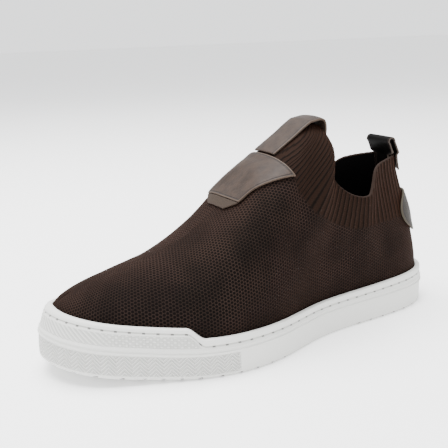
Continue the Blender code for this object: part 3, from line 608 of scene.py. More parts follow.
def ramp(tree, value, low, high):
    """0 up to low and 1 from high on, smooth between."""
    made = node(tree, "ShaderNodeMapRange", {0: value, 1: low, 2: high}, interpolation_type="SMOOTHSTEP")
    return made.outputs[0]


def finish(name, sockets):
    """A Principled surface: its material, its node tree and its shader."""
    made = bpy.data.materials.new(name)
    made.use_nodes = True
    shader = made.node_tree.nodes["Principled BSDF"]
    for key, value in sockets.items():
        shader.inputs[key].default_value = value
    return made, made.node_tree, shader


def bump(tree, shader, height, distance):
    """Relief of the given depth on the shader."""
    relief = node(tree, "ShaderNodeBump", {"Height": height, "Distance": distance, "Strength": 1.0})
    tree.links.new(relief.outputs[0], shader.inputs["Normal"])


def waves(tree, coordinate, pitch):
    """The cosine of a coordinate, one wave each pitch."""
    return math(tree, "COSINE", math(tree, "MULTIPLY", coordinate, 2.0 * np.pi / pitch))


def rubber():
    """White moulded rubber: matte, with a soft wide sheen and crisp low relief.

    Lines and studs are waves of the distance round the shoe and the height: slanted to and
    fro for the herringbone, in both diagonals for the studs, in one for the bars.
    """
    made, tree, shader = finish("moulded_white_rubber", {"Roughness": 0.52, "IOR": 1.52})
    place = node(tree, "ShaderNodeUVMap", uv_map="side").outputs[0]
    split = node(tree, "ShaderNodeSeparateXYZ", {0: place})
    round_, height = split.outputs[0], split.outputs[1]
    rim = node(tree, "ShaderNodeUVMap", uv_map="rim").outputs[0]
    rim_split = node(tree, "ShaderNodeSeparateXYZ", {0: rim})
    below, front = rim_split.outputs[0], rim_split.outputs[1]

    # Where each texture lies: front counts from the toe's tip, below from the groove
    toe_wall = ramp(tree, front, TOE_WALL_REACH, TOE_WALL_REACH - 0.0015)
    above = ramp(tree, height, TOE_WALL_LOW, TOE_WALL_LOW + TEXTURE_EDGE)
    toe_wall = math(tree, "MULTIPLY", toe_wall, above)
    under = ramp(tree, height, TOE_WALL_TOP, TOE_WALL_TOP - TEXTURE_EDGE)
    toe_wall = math(tree, "MULTIPLY", toe_wall, under)
    band = ramp(tree, height, BAND_LOW, BAND_LOW + TEXTURE_EDGE)
    band = math(tree, "MULTIPLY", band, ramp(tree, below, 0.0012, 0.0018))
    band = math(tree, "MULTIPLY", band, ramp(tree, front, BAND_REACH, BAND_REACH - 0.006))
    pebbled = math(tree, "MULTIPLY", ramp(tree, below, -0.0008, -0.0012), ramp(tree, front, 0.118, 0.135))

    # Herringbone on the toe wall: lines that slant one way and then the other
    slanted = math(tree, "ADD", height, math(tree, "PINGPONG", round_, HERRINGBONE_FOLD))
    lines = math(tree, "MULTIPLY", waves(tree, slanted, HERRINGBONE_PITCH), toe_wall)

    # Studs along the band, and slanted bars round the toe's front
    tall = math(tree, "MULTIPLY", height, STUD_TALL)
    up_round = math(tree, "ADD", tall, round_)
    down_round = math(tree, "SUBTRACT", tall, round_)
    crossed = math(tree, "ADD", waves(tree, up_round, STUD_PITCH), waves(tree, down_round, STUD_PITCH))
    studs = ramp(tree, crossed, -0.2, 1.0)
    bars = ramp(tree, waves(tree, down_round, BAR_PITCH), -0.5, 0.5)
    at_front = ramp(tree, front, BARS_START, BARS_WHOLE)
    both = node(tree, "ShaderNodeMix", {0: at_front, 2: studs, 3: bars}).outputs[0]
    raised = math(tree, "MULTIPLY", both, band)

    # Pebbles of under 1 mm, coarse on the rim and barely there elsewhere
    grain = node(tree, "ShaderNodeTexNoise", {"Vector": place, "Scale": 1400.0, "Detail": 3.0})
    pebbles = math(tree, "MULTIPLY", grain.outputs[0], math(tree, "MULTIPLY_ADD", pebbled, 0.7, 0.04))
    relief = math(tree, "ADD", math(tree, "MULTIPLY", lines, 0.9), math(tree, "MULTIPLY", raised, 1.5))
    bump(tree, shader, math(tree, "ADD", relief, pebbles), RUBBER_RELIEF)

    # Needle holes in the groove painted dark, and painted shade in the groove and in the low rubber between
    # lines and studs
    groove = ramp(tree, math(tree, "ABSOLUTE", below), 0.00075, 0.00035)
    step = math(tree, "PINGPONG", round_, STITCH_PITCH / 2.0)
    holes = math(tree, "MULTIPLY", groove, ramp(tree, step, STITCH_LENGTH / 2.0, STITCH_LENGTH * 0.36))
    shade = math(tree, "MULTIPLY", groove, 0.25)
    white = mixed(tree, shade, linear(RUBBER_WHITE), linear(GROOVE_PAINTED_SHADE))
    low = math(tree, "MULTIPLY_ADD", lines, -0.5, math(tree, "MULTIPLY", toe_wall, 0.5))
    low = math(tree, "ADD", low, math(tree, "MULTIPLY_ADD", raised, -1.0, band))
    white = mixed(tree, math(tree, "MULTIPLY", low, 0.5), white, linear(LOW_RUBBER_PAINTED_SHADE))
    tone = mixed(tree, math(tree, "MULTIPLY", holes, 0.8), white, linear(NEEDLE_HOLE_PAINTED_SHADE))
    tree.links.new(tone, shader.inputs["Base Color"])
    return made


TREAD_DEPTH = 0.0014
TREAD_WIDTH = 0.0020
TREAD_PITCH = 0.0120
TREAD_ZIGZAG = 0.0045
TREAD_STEP = 0.0130


def cut_tread(cup):
    """Cuts zigzag grooves across the forefoot and heel: square strips taken off the tread."""
    reach = BALL_WIDTH * 0.62
    x = np.arange(-reach, reach + TREAD_STEP, TREAD_STEP)
    zigzag = TREAD_ZIGZAG / 2.0 * (-1.0) ** np.arange(len(x))
    rows = list(np.arange(HEEL_Y - 0.012, HEEL_Y - 0.29 * SOLE_LENGTH, -TREAD_PITCH))
    rows += list(np.arange(HEEL_Y - 0.52 * SOLE_LENGTH, -HEEL_Y + 0.010, -TREAD_PITCH))
    n = len(x)
    k = np.arange(n - 1)[:, None]
    ring = np.array([[0, n], [n, 3 * n], [3 * n, 2 * n], [2 * n, 0]])
    sides = np.stack([ring[:, 0] + k, ring[:, 0] + k + 1, ring[:, 1] + k + 1, ring[:, 1] + k], -1)
    ends = [[0, n, 3 * n, 2 * n], [n - 1, 3 * n - 1, 4 * n - 1, 2 * n - 1]]
    strip = sides.reshape(-1, 4).tolist() + ends
    heights = (-TREAD_DEPTH, TREAD_DEPTH)
    points, faces = [], []
    for middle in rows:
        faces += [[len(points) * 4 * n + k for k in face] for face in strip]
        y = [middle + zigzag + side * TREAD_WIDTH / 2.0 for side in (-1.0, 1.0)]
        points.append([np.column_stack([x, v, spring(v) + h]) for v in y for h in heights])
    mesh = bpy.data.meshes.new("tread_grooves")
    mesh.from_pydata(np.array(points).reshape(-1, 3), [], faces)
    built = bmesh.new()
    built.from_mesh(mesh)
    bmesh.ops.recalc_face_normals(built, faces=built.faces)
    built.to_mesh(mesh)
    built.free()
    cutter = bpy.data.objects.new("tread_grooves", mesh)
    bpy.context.scene.collection.objects.link(cutter)
    cut = cup.modifiers.new("tread", "BOOLEAN")
    cut.operation, cut.solver, cut.object = "DIFFERENCE", "EXACT", cutter
    done = cup.evaluated_get(bpy.context.evaluated_depsgraph_get())
    cup_mesh = bpy.data.meshes.new_from_object(done)
    cup.modifiers.clear()
    cup.data = cup_mesh
    bpy.data.objects.remove(cutter)
    return cup


def make_cupsole():
    """Rings of the profile round each half, with the tread and the floor as caps."""
    patches, lines = [], []
    for side in SIDES:
        rows, maps = zip(*[cup_ring(side, edge) for edge in cup_profile()])
        rows, maps = np.array(rows), np.array(maps)
        below = groove_line(side) - rows[..., 2]
        front = np.broadcast_to(side.base[-1] - side.base, below.shape)
        rim = np.stack([below, front], -1)
        patches.append(Patch(rows, side.sign > 0, 0, {"side": maps, "rim": rim}))
        lines.append((rows, maps))
    (outer, map_outer), (inner, map_inner) = lines
    for row, flip in ((0, False), (-1, True)):
        points, side_map = flat_cap(outer[row], inner[row], map_outer[row], map_inner[row])
        rim_map = np.zeros_like(side_map) + [1.0, 1.0]
        patches.append(Patch(points, flip, 0, {"side": side_map, "rim": rim_map}))
    made = cut_tread(surface("rubber_cupsole", patches, [rubber()], sharp=60.0))
    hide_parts("cupsole")


make_cupsole()


# The upper: knitted in one piece, an open mesh with a ribbed cuff round collar and tongue,
# over a thin black lining. The matte yarn has a faint halo, and its holes show black.

# Ribs: their pitch on tongue and collar. Course, wale: the pitch of the mesh's holes round
# the shoe and up it. Stitch row: the pitch of the stitches up a rib.
UPPER_WALL = 0.0022
CUFF_RELIEF = 0.00042
TONGUE_RIB = 0.0030
COLLAR_RIB = 0.0043
COURSE = 0.00213
WALE = 0.00230
STITCH_ROW = 0.0012
YARN_WOBBLE = 0.0010
KNIT_RELIEF = 0.00035
ROLL_STEPS = 7
YARN = "241B17"
YARN_SHADE = "15100D"
MESH_HOLE = "040303"
CUFF_YARN = "1A100B"
# Painted shade on the cuff: darker where the stitch rows dip, darkest in the valleys between ribs
CUFF_STITCH_PAINTED_SHADE = "100906"
CUFF_VALLEY_PAINTED_SHADE = "040302"
LINING_BLACK = "060505"
# The collar's rolled edge, a little paler than the cuff as a painted highlight
COLLAR_EDGE_HIGHLIGHT = "211712"

# Where the ribs are an even pitch apart: at this y on the tongue, and this far below the
# collar's edge. They go on this far past the edge's end at the ridge.
SECTION_PLACE = 0.033
RIB_MIDDLE = 0.012
RIB_LEAD = 0.016

# How far the cuff's ribs lean forward as they run down, in degrees, at rows of the sections
Lean = namedtuple("Lean", "row degrees")
LEANS = [Lean(0, 0), Lean(5, -5), Lean(8, 0), Lean(10, 10), Lean(12, 28), Lean(14, 50), Lean(16, 60)]

# The cuff's lower edge seen from the side: its height at places along the shoe
CUFF_Y = [0.0139, 0.0157, 0.0253, 0.0477, 0.0662, 0.0874, 0.1500]
CUFF_Z = [0.1180, 0.1041, 0.0919, 0.0784, 0.0712, 0.0703, 0.0700]


def rib_map(side, normal):
    """Which of the cuff's ribs a point lies on, and how far it is inside the cuff.

    A rib runs in a plane through a point of the collar's edge, or past its end at the
    ridge. The plane holds the rib's direction and, at the heel, the surface's normal, but
    at the tongue the X axis. A point's rib is the one whose plane it lies nearest to. Ribs
    are an even pitch apart along a section across the tongue, and further back along a
    line below the collar's edge.
    """
    step = 0.0003
    edge = side.grid[-1, RIDGE::-1]
    length = run(edge)
    wanted = np.arange(-RIB_LEAD, length[-1], step)
    edge_point = at_length(edge, length, wanted)
    lean = np.radians(np.interp(side.row[RIDGE::-1], [r.row for r in LEANS], [r.degrees for r in LEANS]))
    lean = np.interp(wanted, length, lean)
    out = unit(at_length(normal[-ROW_STEPS, RIDGE::-1], length, wanted))
    level = smoothstep(np.interp(wanted, length, side.row[RIDGE::-1]), 5.0, 9.0)[:, None]
    out = unit(out * (1.0 - level) + np.array([side.sign, 0.0, 0.0]) * level)
    down = np.stack([np.zeros_like(lean), -np.sin(lean), -np.cos(lean)], -1)
    beyond = np.minimum(wanted, 0.0)[:, None]
    edge_point += beyond * np.stack([np.zeros_like(lean), np.cos(lean), -np.sin(lean)], -1)
    across = unit(np.cross(out, down))

    def nearest(points):
        """The number of the plane that each point lies nearest to."""
        offset = points[:, None] - edge_point[None]
        off = np.abs((offset * across).sum(-1)) + 0.12 * np.linalg.norm(offset, axis=-1)
        return off.argmin(1)

    # Even along the section, as far down as the cuff goes there, and then below the edge
    rows = side.grid[::-1, RIDGE // 2 :]
    section = np.array([at_length(row, -row[:, 1], np.array([-SECTION_PLACE]))[0] for row in rows])
    section = section[section[:, 2] > np.interp(SECTION_PLACE, CUFF_Y, CUFF_Z)][::10]
    number = np.maximum.accumulate(nearest(section))
    middle = edge_point + down * RIB_MIDDLE
    crossing = np.linalg.norm(np.cross(np.gradient(middle, axis=0), down), axis=1)
    order = np.arange(len(wanted))
    phase = np.interp(order, number, run(section) / TONGUE_RIB)
    phase += np.cumsum(np.where(order > number[-1], crossing / COLLAR_RIB, 0.0))
    parts = np.array_split(side.grid.reshape(-1, 3), 24)
    found = np.concatenate([phase[nearest(part)] for part in parts]).reshape(side.grid.shape[:2])
    y, z = side.grid[..., 1], side.grid[..., 2]
    inside = smoothstep(z - np.interp(y, CUFF_Y, CUFF_Z), -0.0008, 0.0010) * smoothstep(y, 0.0130, 0.0150)
    return np.stack([found, inside], -1)


def knit_map(side):
    """The knit unrolled: how far round the shoe and how far up it, in metres.

    A step up a rib is split into its part along the outline, which adds to the distance
    round, and the rest, which adds to the distance up.
    """
    tangent = np.column_stack([-side.normal[:, 1], side.normal[:, 0], np.zeros(len(side.normal))])
    tangent *= np.sign((np.gradient(side.plan, axis=0) * tangent[:, :2]).sum(1))[:, None]
    step = np.diff(side.grid, axis=0, prepend=side.grid[:1])
    round_ = (step * tangent).sum(-1)
    up = np.linalg.norm(step - round_[..., None] * tangent, axis=-1)
    return np.stack([side.base + np.cumsum(round_, 0), np.cumsum(up, 0)], -1)


def knit():
    """Open-mesh knit in polyester yarn, and its ribbed cuff in the same yarn.

    Holes lie where three sets of waves crest together: columns one course apart and both
    diagonals. On the cuff, each rib's number turns whole in the dark valley beside it.
    """
    # Holes are over half of the mesh, and the yarn between them catches the light
    dull = {"Roughness": 0.86, "IOR": 1.45, "Specular IOR Level": 0.06}
    halo = {"Sheen Weight": 0.08, "Sheen Roughness": 0.5, "Sheen Tint": linear("A8694A")}
    made, tree, shader = finish("open_mesh_knit", {**dull, **halo})
    place = node(tree, "ShaderNodeUVMap", uv_map="knit").outputs[0]
    split = node(tree, "ShaderNodeSeparateXYZ", {0: place})
    round_, up = split.outputs[0], split.outputs[1]
    wobble = node(tree, "ShaderNodeTexNoise", {"Vector": place, "Scale": 90.0, "Detail": 2.0})
    wobble = math(tree, "MULTIPLY_ADD", wobble.outputs[0], YARN_WOBBLE, -YARN_WOBBLE / 2.0)
    half_round = math(tree, "DIVIDE", math(tree, "ADD", round_, wobble), 2.0 * COURSE)
    half_up = math(tree, "DIVIDE", math(tree, "ADD", up, wobble), WALE)
    first = waves(tree, math(tree, "ADD", half_up, half_round), 1.0)
    second = waves(tree, math(tree, "SUBTRACT", half_up, half_round), 1.0)
    third = waves(tree, math(tree, "MULTIPLY", half_round, 2.0), 1.0)
    crest = math(tree, "ADD", math(tree, "ADD", first, second), third)
    hole = ramp(tree, crest, -1.15, 0.15)

    rib = node(tree, "ShaderNodeUVMap", uv_map="rib").outputs[0]
    rib_split = node(tree, "ShaderNodeSeparateXYZ", {0: rib})
    cuff = rib_split.outputs[1]
    across = math(tree, "PINGPONG", rib_split.outputs[0], 0.5)
    valley = ramp(tree, across, 0.30, 0.03)
    stitch = math(tree, "MULTIPLY_ADD", waves(tree, up, STITCH_ROW), 0.5, 0.5)

    # The yarn varies a little in tone, and is a warmer brown on the cuff
    tone = node(tree, "ShaderNodeTexNoise", {"Vector": place, "Scale": 35.0, "Detail": 4.0})
    tone = ramp(tree, tone.outputs[0], 0.3, 0.7)
    yarn = mixed(tree, tone, linear(YARN), linear(YARN_SHADE))
    body = mixed(tree, hole, yarn, linear(MESH_HOLE))
    # On the cuff, the dips between stitch rows and the valleys between ribs are darkened in the colour as
    # painted shade
    ribbed = mixed(tree, math(tree, "MULTIPLY", stitch, 0.35), linear(CUFF_YARN), linear(CUFF_STITCH_PAINTED_SHADE))
    ribbed = mixed(tree, valley, ribbed, linear(CUFF_VALLEY_PAINTED_SHADE))
    tree.links.new(mixed(tree, cuff, body, ribbed), shader.inputs["Base Color"])
    # The dark spots and lines stand out a little, in step with the cuff's relief
    lines = math(tree, "MULTIPLY_ADD", stitch, -0.25, valley)
    height = node(tree, "ShaderNodeMix", {0: cuff, 2: hole, 3: lines}).outputs[0]
    bump(tree, shader, height, KNIT_RELIEF)
    return made


def lining():
    """Black brushed textile inside the shoe: its nap swallows the light."""
    dull = {"Roughness": 0.95, "Base Color": linear(LINING_BLACK), "Specular IOR Level": 0.05}
    made, tree, shader = finish("black_lining_textile", dull)
    place = node(tree, "ShaderNodeTexCoord").outputs["Object"]
    nap = node(tree, "ShaderNodeTexNoise", {"Vector": place, "Scale": 1500.0})
    bump(tree, shader, nap.outputs[0], 0.0002)
    return made


def collar_edge_highlight():
    """The collar's rolled edge: matte knit, a little paler in colour as a painted highlight."""
    dull = {"Roughness": 0.85, "Base Color": linear(COLLAR_EDGE_HIGHLIGHT), "Specular IOR Level": 0.1}
    made, tree, shader = finish("collar_edge_painted_highlight", dull)
    place = node(tree, "ShaderNodeTexCoord").outputs["Object"]
    loops = node(tree, "ShaderNodeTexNoise", {"Vector": place, "Scale": 900.0})
    bump(tree, shader, loops.outputs[0], 0.0002)
    return made


BLACK_LINING = lining()

# Soft folds where the knit gives: over the ball, at the waist under the cuff's notch, in the
# arch and before the heel. Each is a trough between two points seen from the side.
Fold = namedtuple("Fold", "y z end_y end_z width depth")
FOLDS = [
    Fold(-0.064, 0.041, -0.040, 0.062, 0.0065, 0.00060),
    Fold(-0.034, 0.043, -0.016, 0.068, 0.0080, 0.00050),
    Fold(0.022, 0.046, 0.046, 0.074, 0.0090, 0.00075),
    Fold(0.056, 0.052, 0.072, 0.080, 0.0070, 0.00060),
    Fold(0.098, 0.048, 0.088, 0.076, 0.0075, 0.00050),
]


def fold_depth(points):
    """How far the knit sinks: the sum of depth * exp(-(distance / width) ** 2)."""
    sunk = np.zeros(points.shape[:-1])
    for fold in FOLDS:
        start = np.array([fold.y, fold.z])
        span = np.array([fold.end_y, fold.end_z]) - start
        offset = points[..., 1:] - start
        share = np.clip(offset @ span / (span @ span), 0.0, 1.0)
        distance = np.linalg.norm(offset - share[..., None] * span, axis=-1)
        sunk += fold.depth * np.exp(-((distance / fold.width) ** 2))
    return sunk


def make_upper():
    """Both halves as a shell: outer face, rounded collar edge, lining and lower edge."""
    finishes = [knit(), BLACK_LINING, collar_edge_highlight()]
    ribs = [rib_map(side, normal) for side, normal in zip(SIDES, NORMALS)]
    profiles = [np.abs(np.cos(np.pi * rib[..., 0])) ** 0.6 for rib in ribs]
    raised = [(p - 0.5) * CUFF_RELIEF * rib[..., 1] for p, rib in zip(profiles, ribs)]

    # Where the halves meet, down the heel and along the ridge, they share one height, and
    # at the ridge's end one direction for the rolled edge
    for place in ((slice(None), 0), (-1, slice(RIDGE, None))):
        raised[0][place] = raised[1][place] = (raised[0][place] + raised[1][place]) / 2.0
    ridge_up = unit(sum(unit(side.grid[-1, RIDGE] - side.grid[-3, RIDGE]) for side in SIDES))
    patches = []
    for side, normal, rib, height in zip(SIDES, NORMALS, ribs, raised):
        outside = side.grid + normal * (height - fold_depth(side.grid))[..., None]
        inside = side.grid - normal * UPPER_WALL
        flip = side.sign > 0
        maps = {"knit": knit_map(side), "rib": rib}
        patches.append(Patch(outside, flip, 0, maps))
        patches.append(Patch(inside, not flip, 1, maps))
        lower = {key: np.stack([value[0], value[0]]) for key, value in maps.items()}
        patches.append(Patch(np.stack([outside[0], inside[0]]), not flip, 1, lower))

        # The collar's edge is rolled over from the outer face to the lining: a half circle
        top, bottom = outside[-1, : RIDGE + 1], inside[-1, : RIDGE + 1]
        upward = unit(top - side.grid[-3, : RIDGE + 1])
        upward[-1] = ridge_up
        turn = np.linspace(0.0, np.pi, ROLL_STEPS)[:, None, None]
        middle, radius = (top + bottom) / 2.0, np.linalg.norm(top - bottom, axis=1)[:, None] / 2.0
        rolled = middle + radius * (unit(top - bottom) * np.cos(turn) + upward * np.sin(turn) * 0.7)
        around = (ROLL_STEPS, RIDGE + 1, 2)
        edge_maps = {key: np.broadcast_to(value[-1, : RIDGE + 1], around) for key, value in maps.items()}
        # The rolled edge takes the third finish, paler as a painted highlight
        patches.append(Patch(rolled, flip, 2, edge_maps))
    made = surface("knit_upper", patches, finishes, sharp=60.0)
    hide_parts("upper")


make_upper()


# The footbed: a foam insole under black textile, cupped at its edge. Only a little of its
# dark face shows, deep inside the shoe.
INSOLE_THICKNESS = 0.0045
INSOLE_CUP = 0.0025


def make_insole():
    """Rings of the footbed's section round each half, with caps above and below."""
    bed, inside = SOLE_FLOOR + GAP, -(UPPER_WALL + GAP)
    top = bed + INSOLE_THICKNESS
    section = [
        (bed, inside - 0.0010),
        (bed + 0.0003, inside - 0.0003),
        (bed + 0.0010, inside),
        (top + INSOLE_CUP * 0.6, inside),
        (top + INSOLE_CUP * 0.9, inside - 0.0004),
        (top + INSOLE_CUP, inside - 0.0014),
        (top + INSOLE_CUP * 0.55, inside - 0.0045),
        (top + INSOLE_CUP * 0.15, inside - 0.0080),
        (top, inside - 0.0110),
    ]
    halves, patches = [], []
    for side in SIDES:
        rows = np.array([side.at_height(height + side.lift) for height, _ in section])
        rows[..., :2] += side.normal * np.array([outset for _, outset in section])[:, None, None]
        halves.append(rows)
        patches.append(Patch(rows, side.sign > 0, 0, {}))
    for row, flip in ((0, False), (-1, True)):
        cap, _ = flat_cap(halves[0][row], halves[1][row], 0.0, 0.0)
        patches.append(Patch(cap, flip, 0, {}))
    made = surface("textile_footbed", patches, [BLACK_LINING])
    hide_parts("insole")


make_insole()


# The saddle: a taupe leather panel laid over the instep, its edges cut, skived and inked paler,
# with a painted highlight along them on top and a creased line just inside them darkened as
# painted shade. Smooth finished leather has a broad sheen.
LEATHER = 0.0014
OVERLAY_GAP = 0.0010
SADDLE_REAR = 0.0128
SADDLE_SWEEP = 0.0027
SADDLE_LENGTH = 0.0296
SADDLE_REAR_HALF = 0.0395
SADDLE_FRONT_HALF = 0.0215
CREASE_PAINTED_SHADE = "1A1513"

# Forms of worn leather: a swell over the ridge's outer side, a hollow behind it and a fold
# along its rear. Places and widths are shares of half its width and its length.
Swell = namedtuple("Swell", "height across width along length")
SWELLS = [
    Swell(0.00045, 0.18, 0.30, 0.55, 0.35),
    Swell(-0.00040, 0.62, 0.13, 0.35, 0.25),
    Swell(-0.00030, -0.10, 0.50, 0.16, 0.07),
]

# The instep's table: sections at these places along the shoe, cut at these girths
SECTION_Y = np.linspace(0.018, -0.028, 70)
GIRTH = np.linspace(0.0, 0.044, 60)


def section_at(side, y):
    """One side's section at y: points at the girths down from the ridge."""
    rows = [row for row in side.grid[::-1, RIDGE:] if row[0, 1] >= y]
    line = np.array([at_length(row, -row[:, 1], np.array([-y]))[0] for row in rows])
    return at_length(line, run(line), GIRTH)


INSTEP = np.array([np.vstack([section_at(SIDES[1], y)[:0:-1], section_at(SIDES[0], y)]) for y in SECTION_Y])


def on_instep(y, girth):
    """Points of the upper at y and the signed girth from the ridge, between table points."""
    row = (SECTION_Y[0] - y) / (SECTION_Y[0] - SECTION_Y[-1]) * (len(SECTION_Y) - 1)
    place = (girth / GIRTH[-1] + 1.0) * (len(GIRTH) - 1)
    i = np.clip(row.astype(int), 0, INSTEP.shape[0] - 2)
    j = np.clip(place.astype(int), 0, INSTEP.shape[1] - 2)
    s, t = (row - i)[..., None], (place - j)[..., None]
    near = INSTEP[i, j] * (1.0 - t) + INSTEP[i, j + 1] * t
    return near * (1.0 - s) + (INSTEP[i + 1, j] * (1.0 - t) + INSTEP[i + 1, j + 1] * t) * s


def leather(name, tone, shade, rim, gloss=0.14):
    """Finished leather: fine grain, soft mottling, a paler rim as a painted highlight and a creased line
    darkened as painted shade.
    """
    made, tree, shader = finish(name, {"Roughness": 0.5, "IOR": 1.5, "Specular IOR Level": gloss})
    place = node(tree, "ShaderNodeUVMap", uv_map="hide").outputs[0]
    edge = node(tree, "ShaderNodeUVMap", uv_map="edge").outputs[0]
    split = node(tree, "ShaderNodeSeparateXYZ", {0: edge})
    margin = math(tree, "MINIMUM", split.outputs[0], split.outputs[1])
    # A creased line inside the edges is sunk in the relief and darkened as painted shade, and the outermost
    # millimetre is paler as a painted highlight
    line = math(tree, "MULTIPLY", ramp(tree, margin, 0.0008, 0.0012), ramp(tree, margin, 0.0021, 0.0016))
    pale = ramp(tree, margin, 0.0011, 0.0007)
    cloud = node(tree, "ShaderNodeTexNoise", {"Vector": place, "Scale": 130.0, "Detail": 3.0})
    colour = mixed(tree, ramp(tree, cloud.outputs[0], 0.32, 0.68), linear(tone), linear(shade))
    colour = mixed(tree, math(tree, "MULTIPLY", line, 0.85), colour, linear(CREASE_PAINTED_SHADE))
    colour = mixed(tree, math(tree, "MULTIPLY", pale, 0.8), colour, linear(rim))
    tree.links.new(colour, shader.inputs["Base Color"])

    # Grain cells of 0.5 mm, finer than the render shows but felt in the sheen
    cells = node(tree, "ShaderNodeTexVoronoi", {"Vector": place, "Scale": 2000.0})
    soft = node(tree, "ShaderNodeTexNoise", {"Vector": place, "Scale": 420.0, "Detail": 4.0})
    relief = math(tree, "MULTIPLY_ADD", cells.outputs[0], 0.25, soft.outputs[0])
    bump(tree, shader, math(tree, "SUBTRACT", relief, math(tree, "MULTIPLY", line, 1.6)), 0.00016)
    return made


def cut_edge(name, tone):
    """The cut side of leather: matte, pale fibres under thin edge ink."""
    fibrous = {"Roughness": 0.75, "Base Color": linear(tone), "Specular IOR Level": 0.2}
    made, tree, shader = finish(name, fibrous)
    place = node(tree, "ShaderNodeTexCoord").outputs["Object"]
    fibres = node(tree, "ShaderNodeTexNoise", {"Vector": place, "Scale": 2500.0})
    bump(tree, shader, fibres.outputs[0], 0.0001)
    return made


def outward_normals(points, outward):
    """Unit normals of a grid of points, turned to the given direction in its middle."""
    found = face_normals(points)
    middle = found[len(points) // 2, points.shape[1] // 2]
    return found if middle @ outward > 0 else -found


def sheet(name, points, outward, thickness, offset, finishes, ends=(1, 1)):
    """Leather over a grid of points, with thickness and softly broken edges.

    Its maps are the distance across and along it, and that to its nearest side and end.
    """
    across = np.linalg.norm(np.diff(points, axis=1, prepend=points[:, :1]), axis=2).cumsum(1)
    length = np.linalg.norm(np.diff(points, axis=0, prepend=points[:1]), axis=2).cumsum(0)
    side = np.minimum(across, across[:, -1:] - across)
    end = np.minimum(length + (1 - ends[0]), length[-1:] - length + (1 - ends[1]))
    hide = np.stack([across - across[:, -1:] / 2.0, length], -1)
    maps = {"hide": hide, "edge": np.stack([side, end], -1)}
    turned = face_normals(points)[len(points) // 2, points.shape[1] // 2] @ outward < 0
    made = surface(name, [Patch(points, turned, 0, maps)], finishes, sharp=60.0)
    wall = made.modifiers.new("thickness", "SOLIDIFY")
    wall.thickness, wall.offset, wall.use_even_offset = thickness, offset, True
    wall.material_offset_rim = 1
    edge = made.modifiers.new("broken_edge", "BEVEL")
    edge.width, edge.segments, edge.limit_method, edge.angle_limit = 0.0003, 2, "ANGLE", np.radians(55)
    return made


# rim: the colour of the painted highlight along the edges
TAUPE = leather("finished_taupe_leather", tone="30251E", shade="241B16", rim="43372E")
TAUPE_EDGE = cut_edge("inked_taupe_edge", tone="40342C")


def make_saddle():
    """The panel over the instep: a grid on the upper, lifted by a gap and by its swells."""
    across = np.linspace(-1.0, 1.0, 91)[None]
    t = np.linspace(0.0, 1.0, 37)[:, None]
    half = SADDLE_REAR_HALF + (SADDLE_FRONT_HALF - SADDLE_REAR_HALF) * t
    rear = SADDLE_REAR + SADDLE_SWEEP * across**2
    y = rear + (SADDLE_REAR - SADDLE_LENGTH - rear) * t
    points = on_instep(y, across * half)
    lift = OVERLAY_GAP
    for swell in SWELLS:
        off, on = (across - swell.across) / swell.width, (t - swell.along) / swell.length
        lift = lift + swell.height * np.exp(-(off**2) - on**2)
    points = points + outward_normals(points, UP) * lift[..., None]
    made = sheet("leather_saddle", points, UP, LEATHER, 1.0, [TAUPE, TAUPE_EDGE])
    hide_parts("instep_saddle")


make_saddle()


# The strip: thin taupe suede sewn in front of the saddle, tapered towards the toe. Its nap
# scatters light, so it looks matte and grainy beside the smooth leather.
STRIP_LEATHER = 0.0009
STRIP_LENGTH = 0.0060
STRIP_TAPER = 0.0105
NAP = "211913"
NAP_LIGHT = "31271F"


def suede():
    """Brushed suede: a short nap, matte and mottled."""
    napped = {"Roughness": 0.9, "Sheen Weight": 0.05, "Specular IOR Level": 0.1}
    made, tree, shader = finish("brushed_taupe_suede", napped)
    place = node(tree, "ShaderNodeUVMap", uv_map="hide").outputs[0]
    nap = node(tree, "ShaderNodeTexNoise", {"Vector": place, "Scale": 1300.0, "Detail": 3.0})
    tone = mixed(tree, ramp(tree, nap.outputs[0], 0.35, 0.65), linear(NAP), linear(NAP_LIGHT))
    tree.links.new(tone, shader.inputs["Base Color"])
    bump(tree, shader, nap.outputs[0], 0.0002)
    return made


def make_strip():
    """A tapering sheet in front of the saddle's edge."""
    across = np.linspace(-1.0, 1.0, 49)[None]
    t = np.linspace(0.0, 1.0, 9)[:, None]
    girth = across * (SADDLE_FRONT_HALF - STRIP_TAPER * t)
    y = np.broadcast_to(SADDLE_REAR - SADDLE_LENGTH - GAP - STRIP_LENGTH * t, girth.shape)
    points = on_instep(y, girth)
    points = points + outward_normals(points, UP) * OVERLAY_GAP
    made = sheet("suede_strip", points, UP, STRIP_LEATHER, 1.0, [suede(), TAUPE_EDGE])
    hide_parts("saddle_strip")


make_strip()


# The tongue loop: a strap of the saddle's leather that runs up the tongue, rolls over its
# end and is sewn down inside, so that a finger fits through the roll.
STRAP_WIDTH = 0.0250
STRAP_SAG = 0.0010
STRAP_LEAVE = 0.0400
LOOP_RISE = 0.0013
LOOP_REACH = 0.0085
LOOP_ROUND = 0.0046
LOOP_LEAD = 0.0080
LOOP_TUCK = 0.0140
LOOP_DROP = 0.0020
LOOP_ARCH = 0.8
ACROSS = np.linspace(-1.0, 1.0, 21)
MIDDLE = len(ACROSS) // 2
LIFT = OVERLAY_GAP + LEATHER / 2.0


def on_rib(y, girth):
    """Points the signed girths down the rib that meets the ridge at y."""
    found = []
    for side in SIDES:
        stations = np.arange(RIDGE, side.grid.shape[1])
        at = np.interp(-y, -side.grid[-1, RIDGE:, 1], stations)
        i = min(int(at), stations[-1] - 1)
        rib = side.grid[::-1, i] + (side.grid[::-1, i + 1] - side.grid[::-1, i]) * (at - i)
        found.append(at_length(rib, run(rib), np.abs(girth)))
    return np.where((girth >= 0)[:, None], *found)


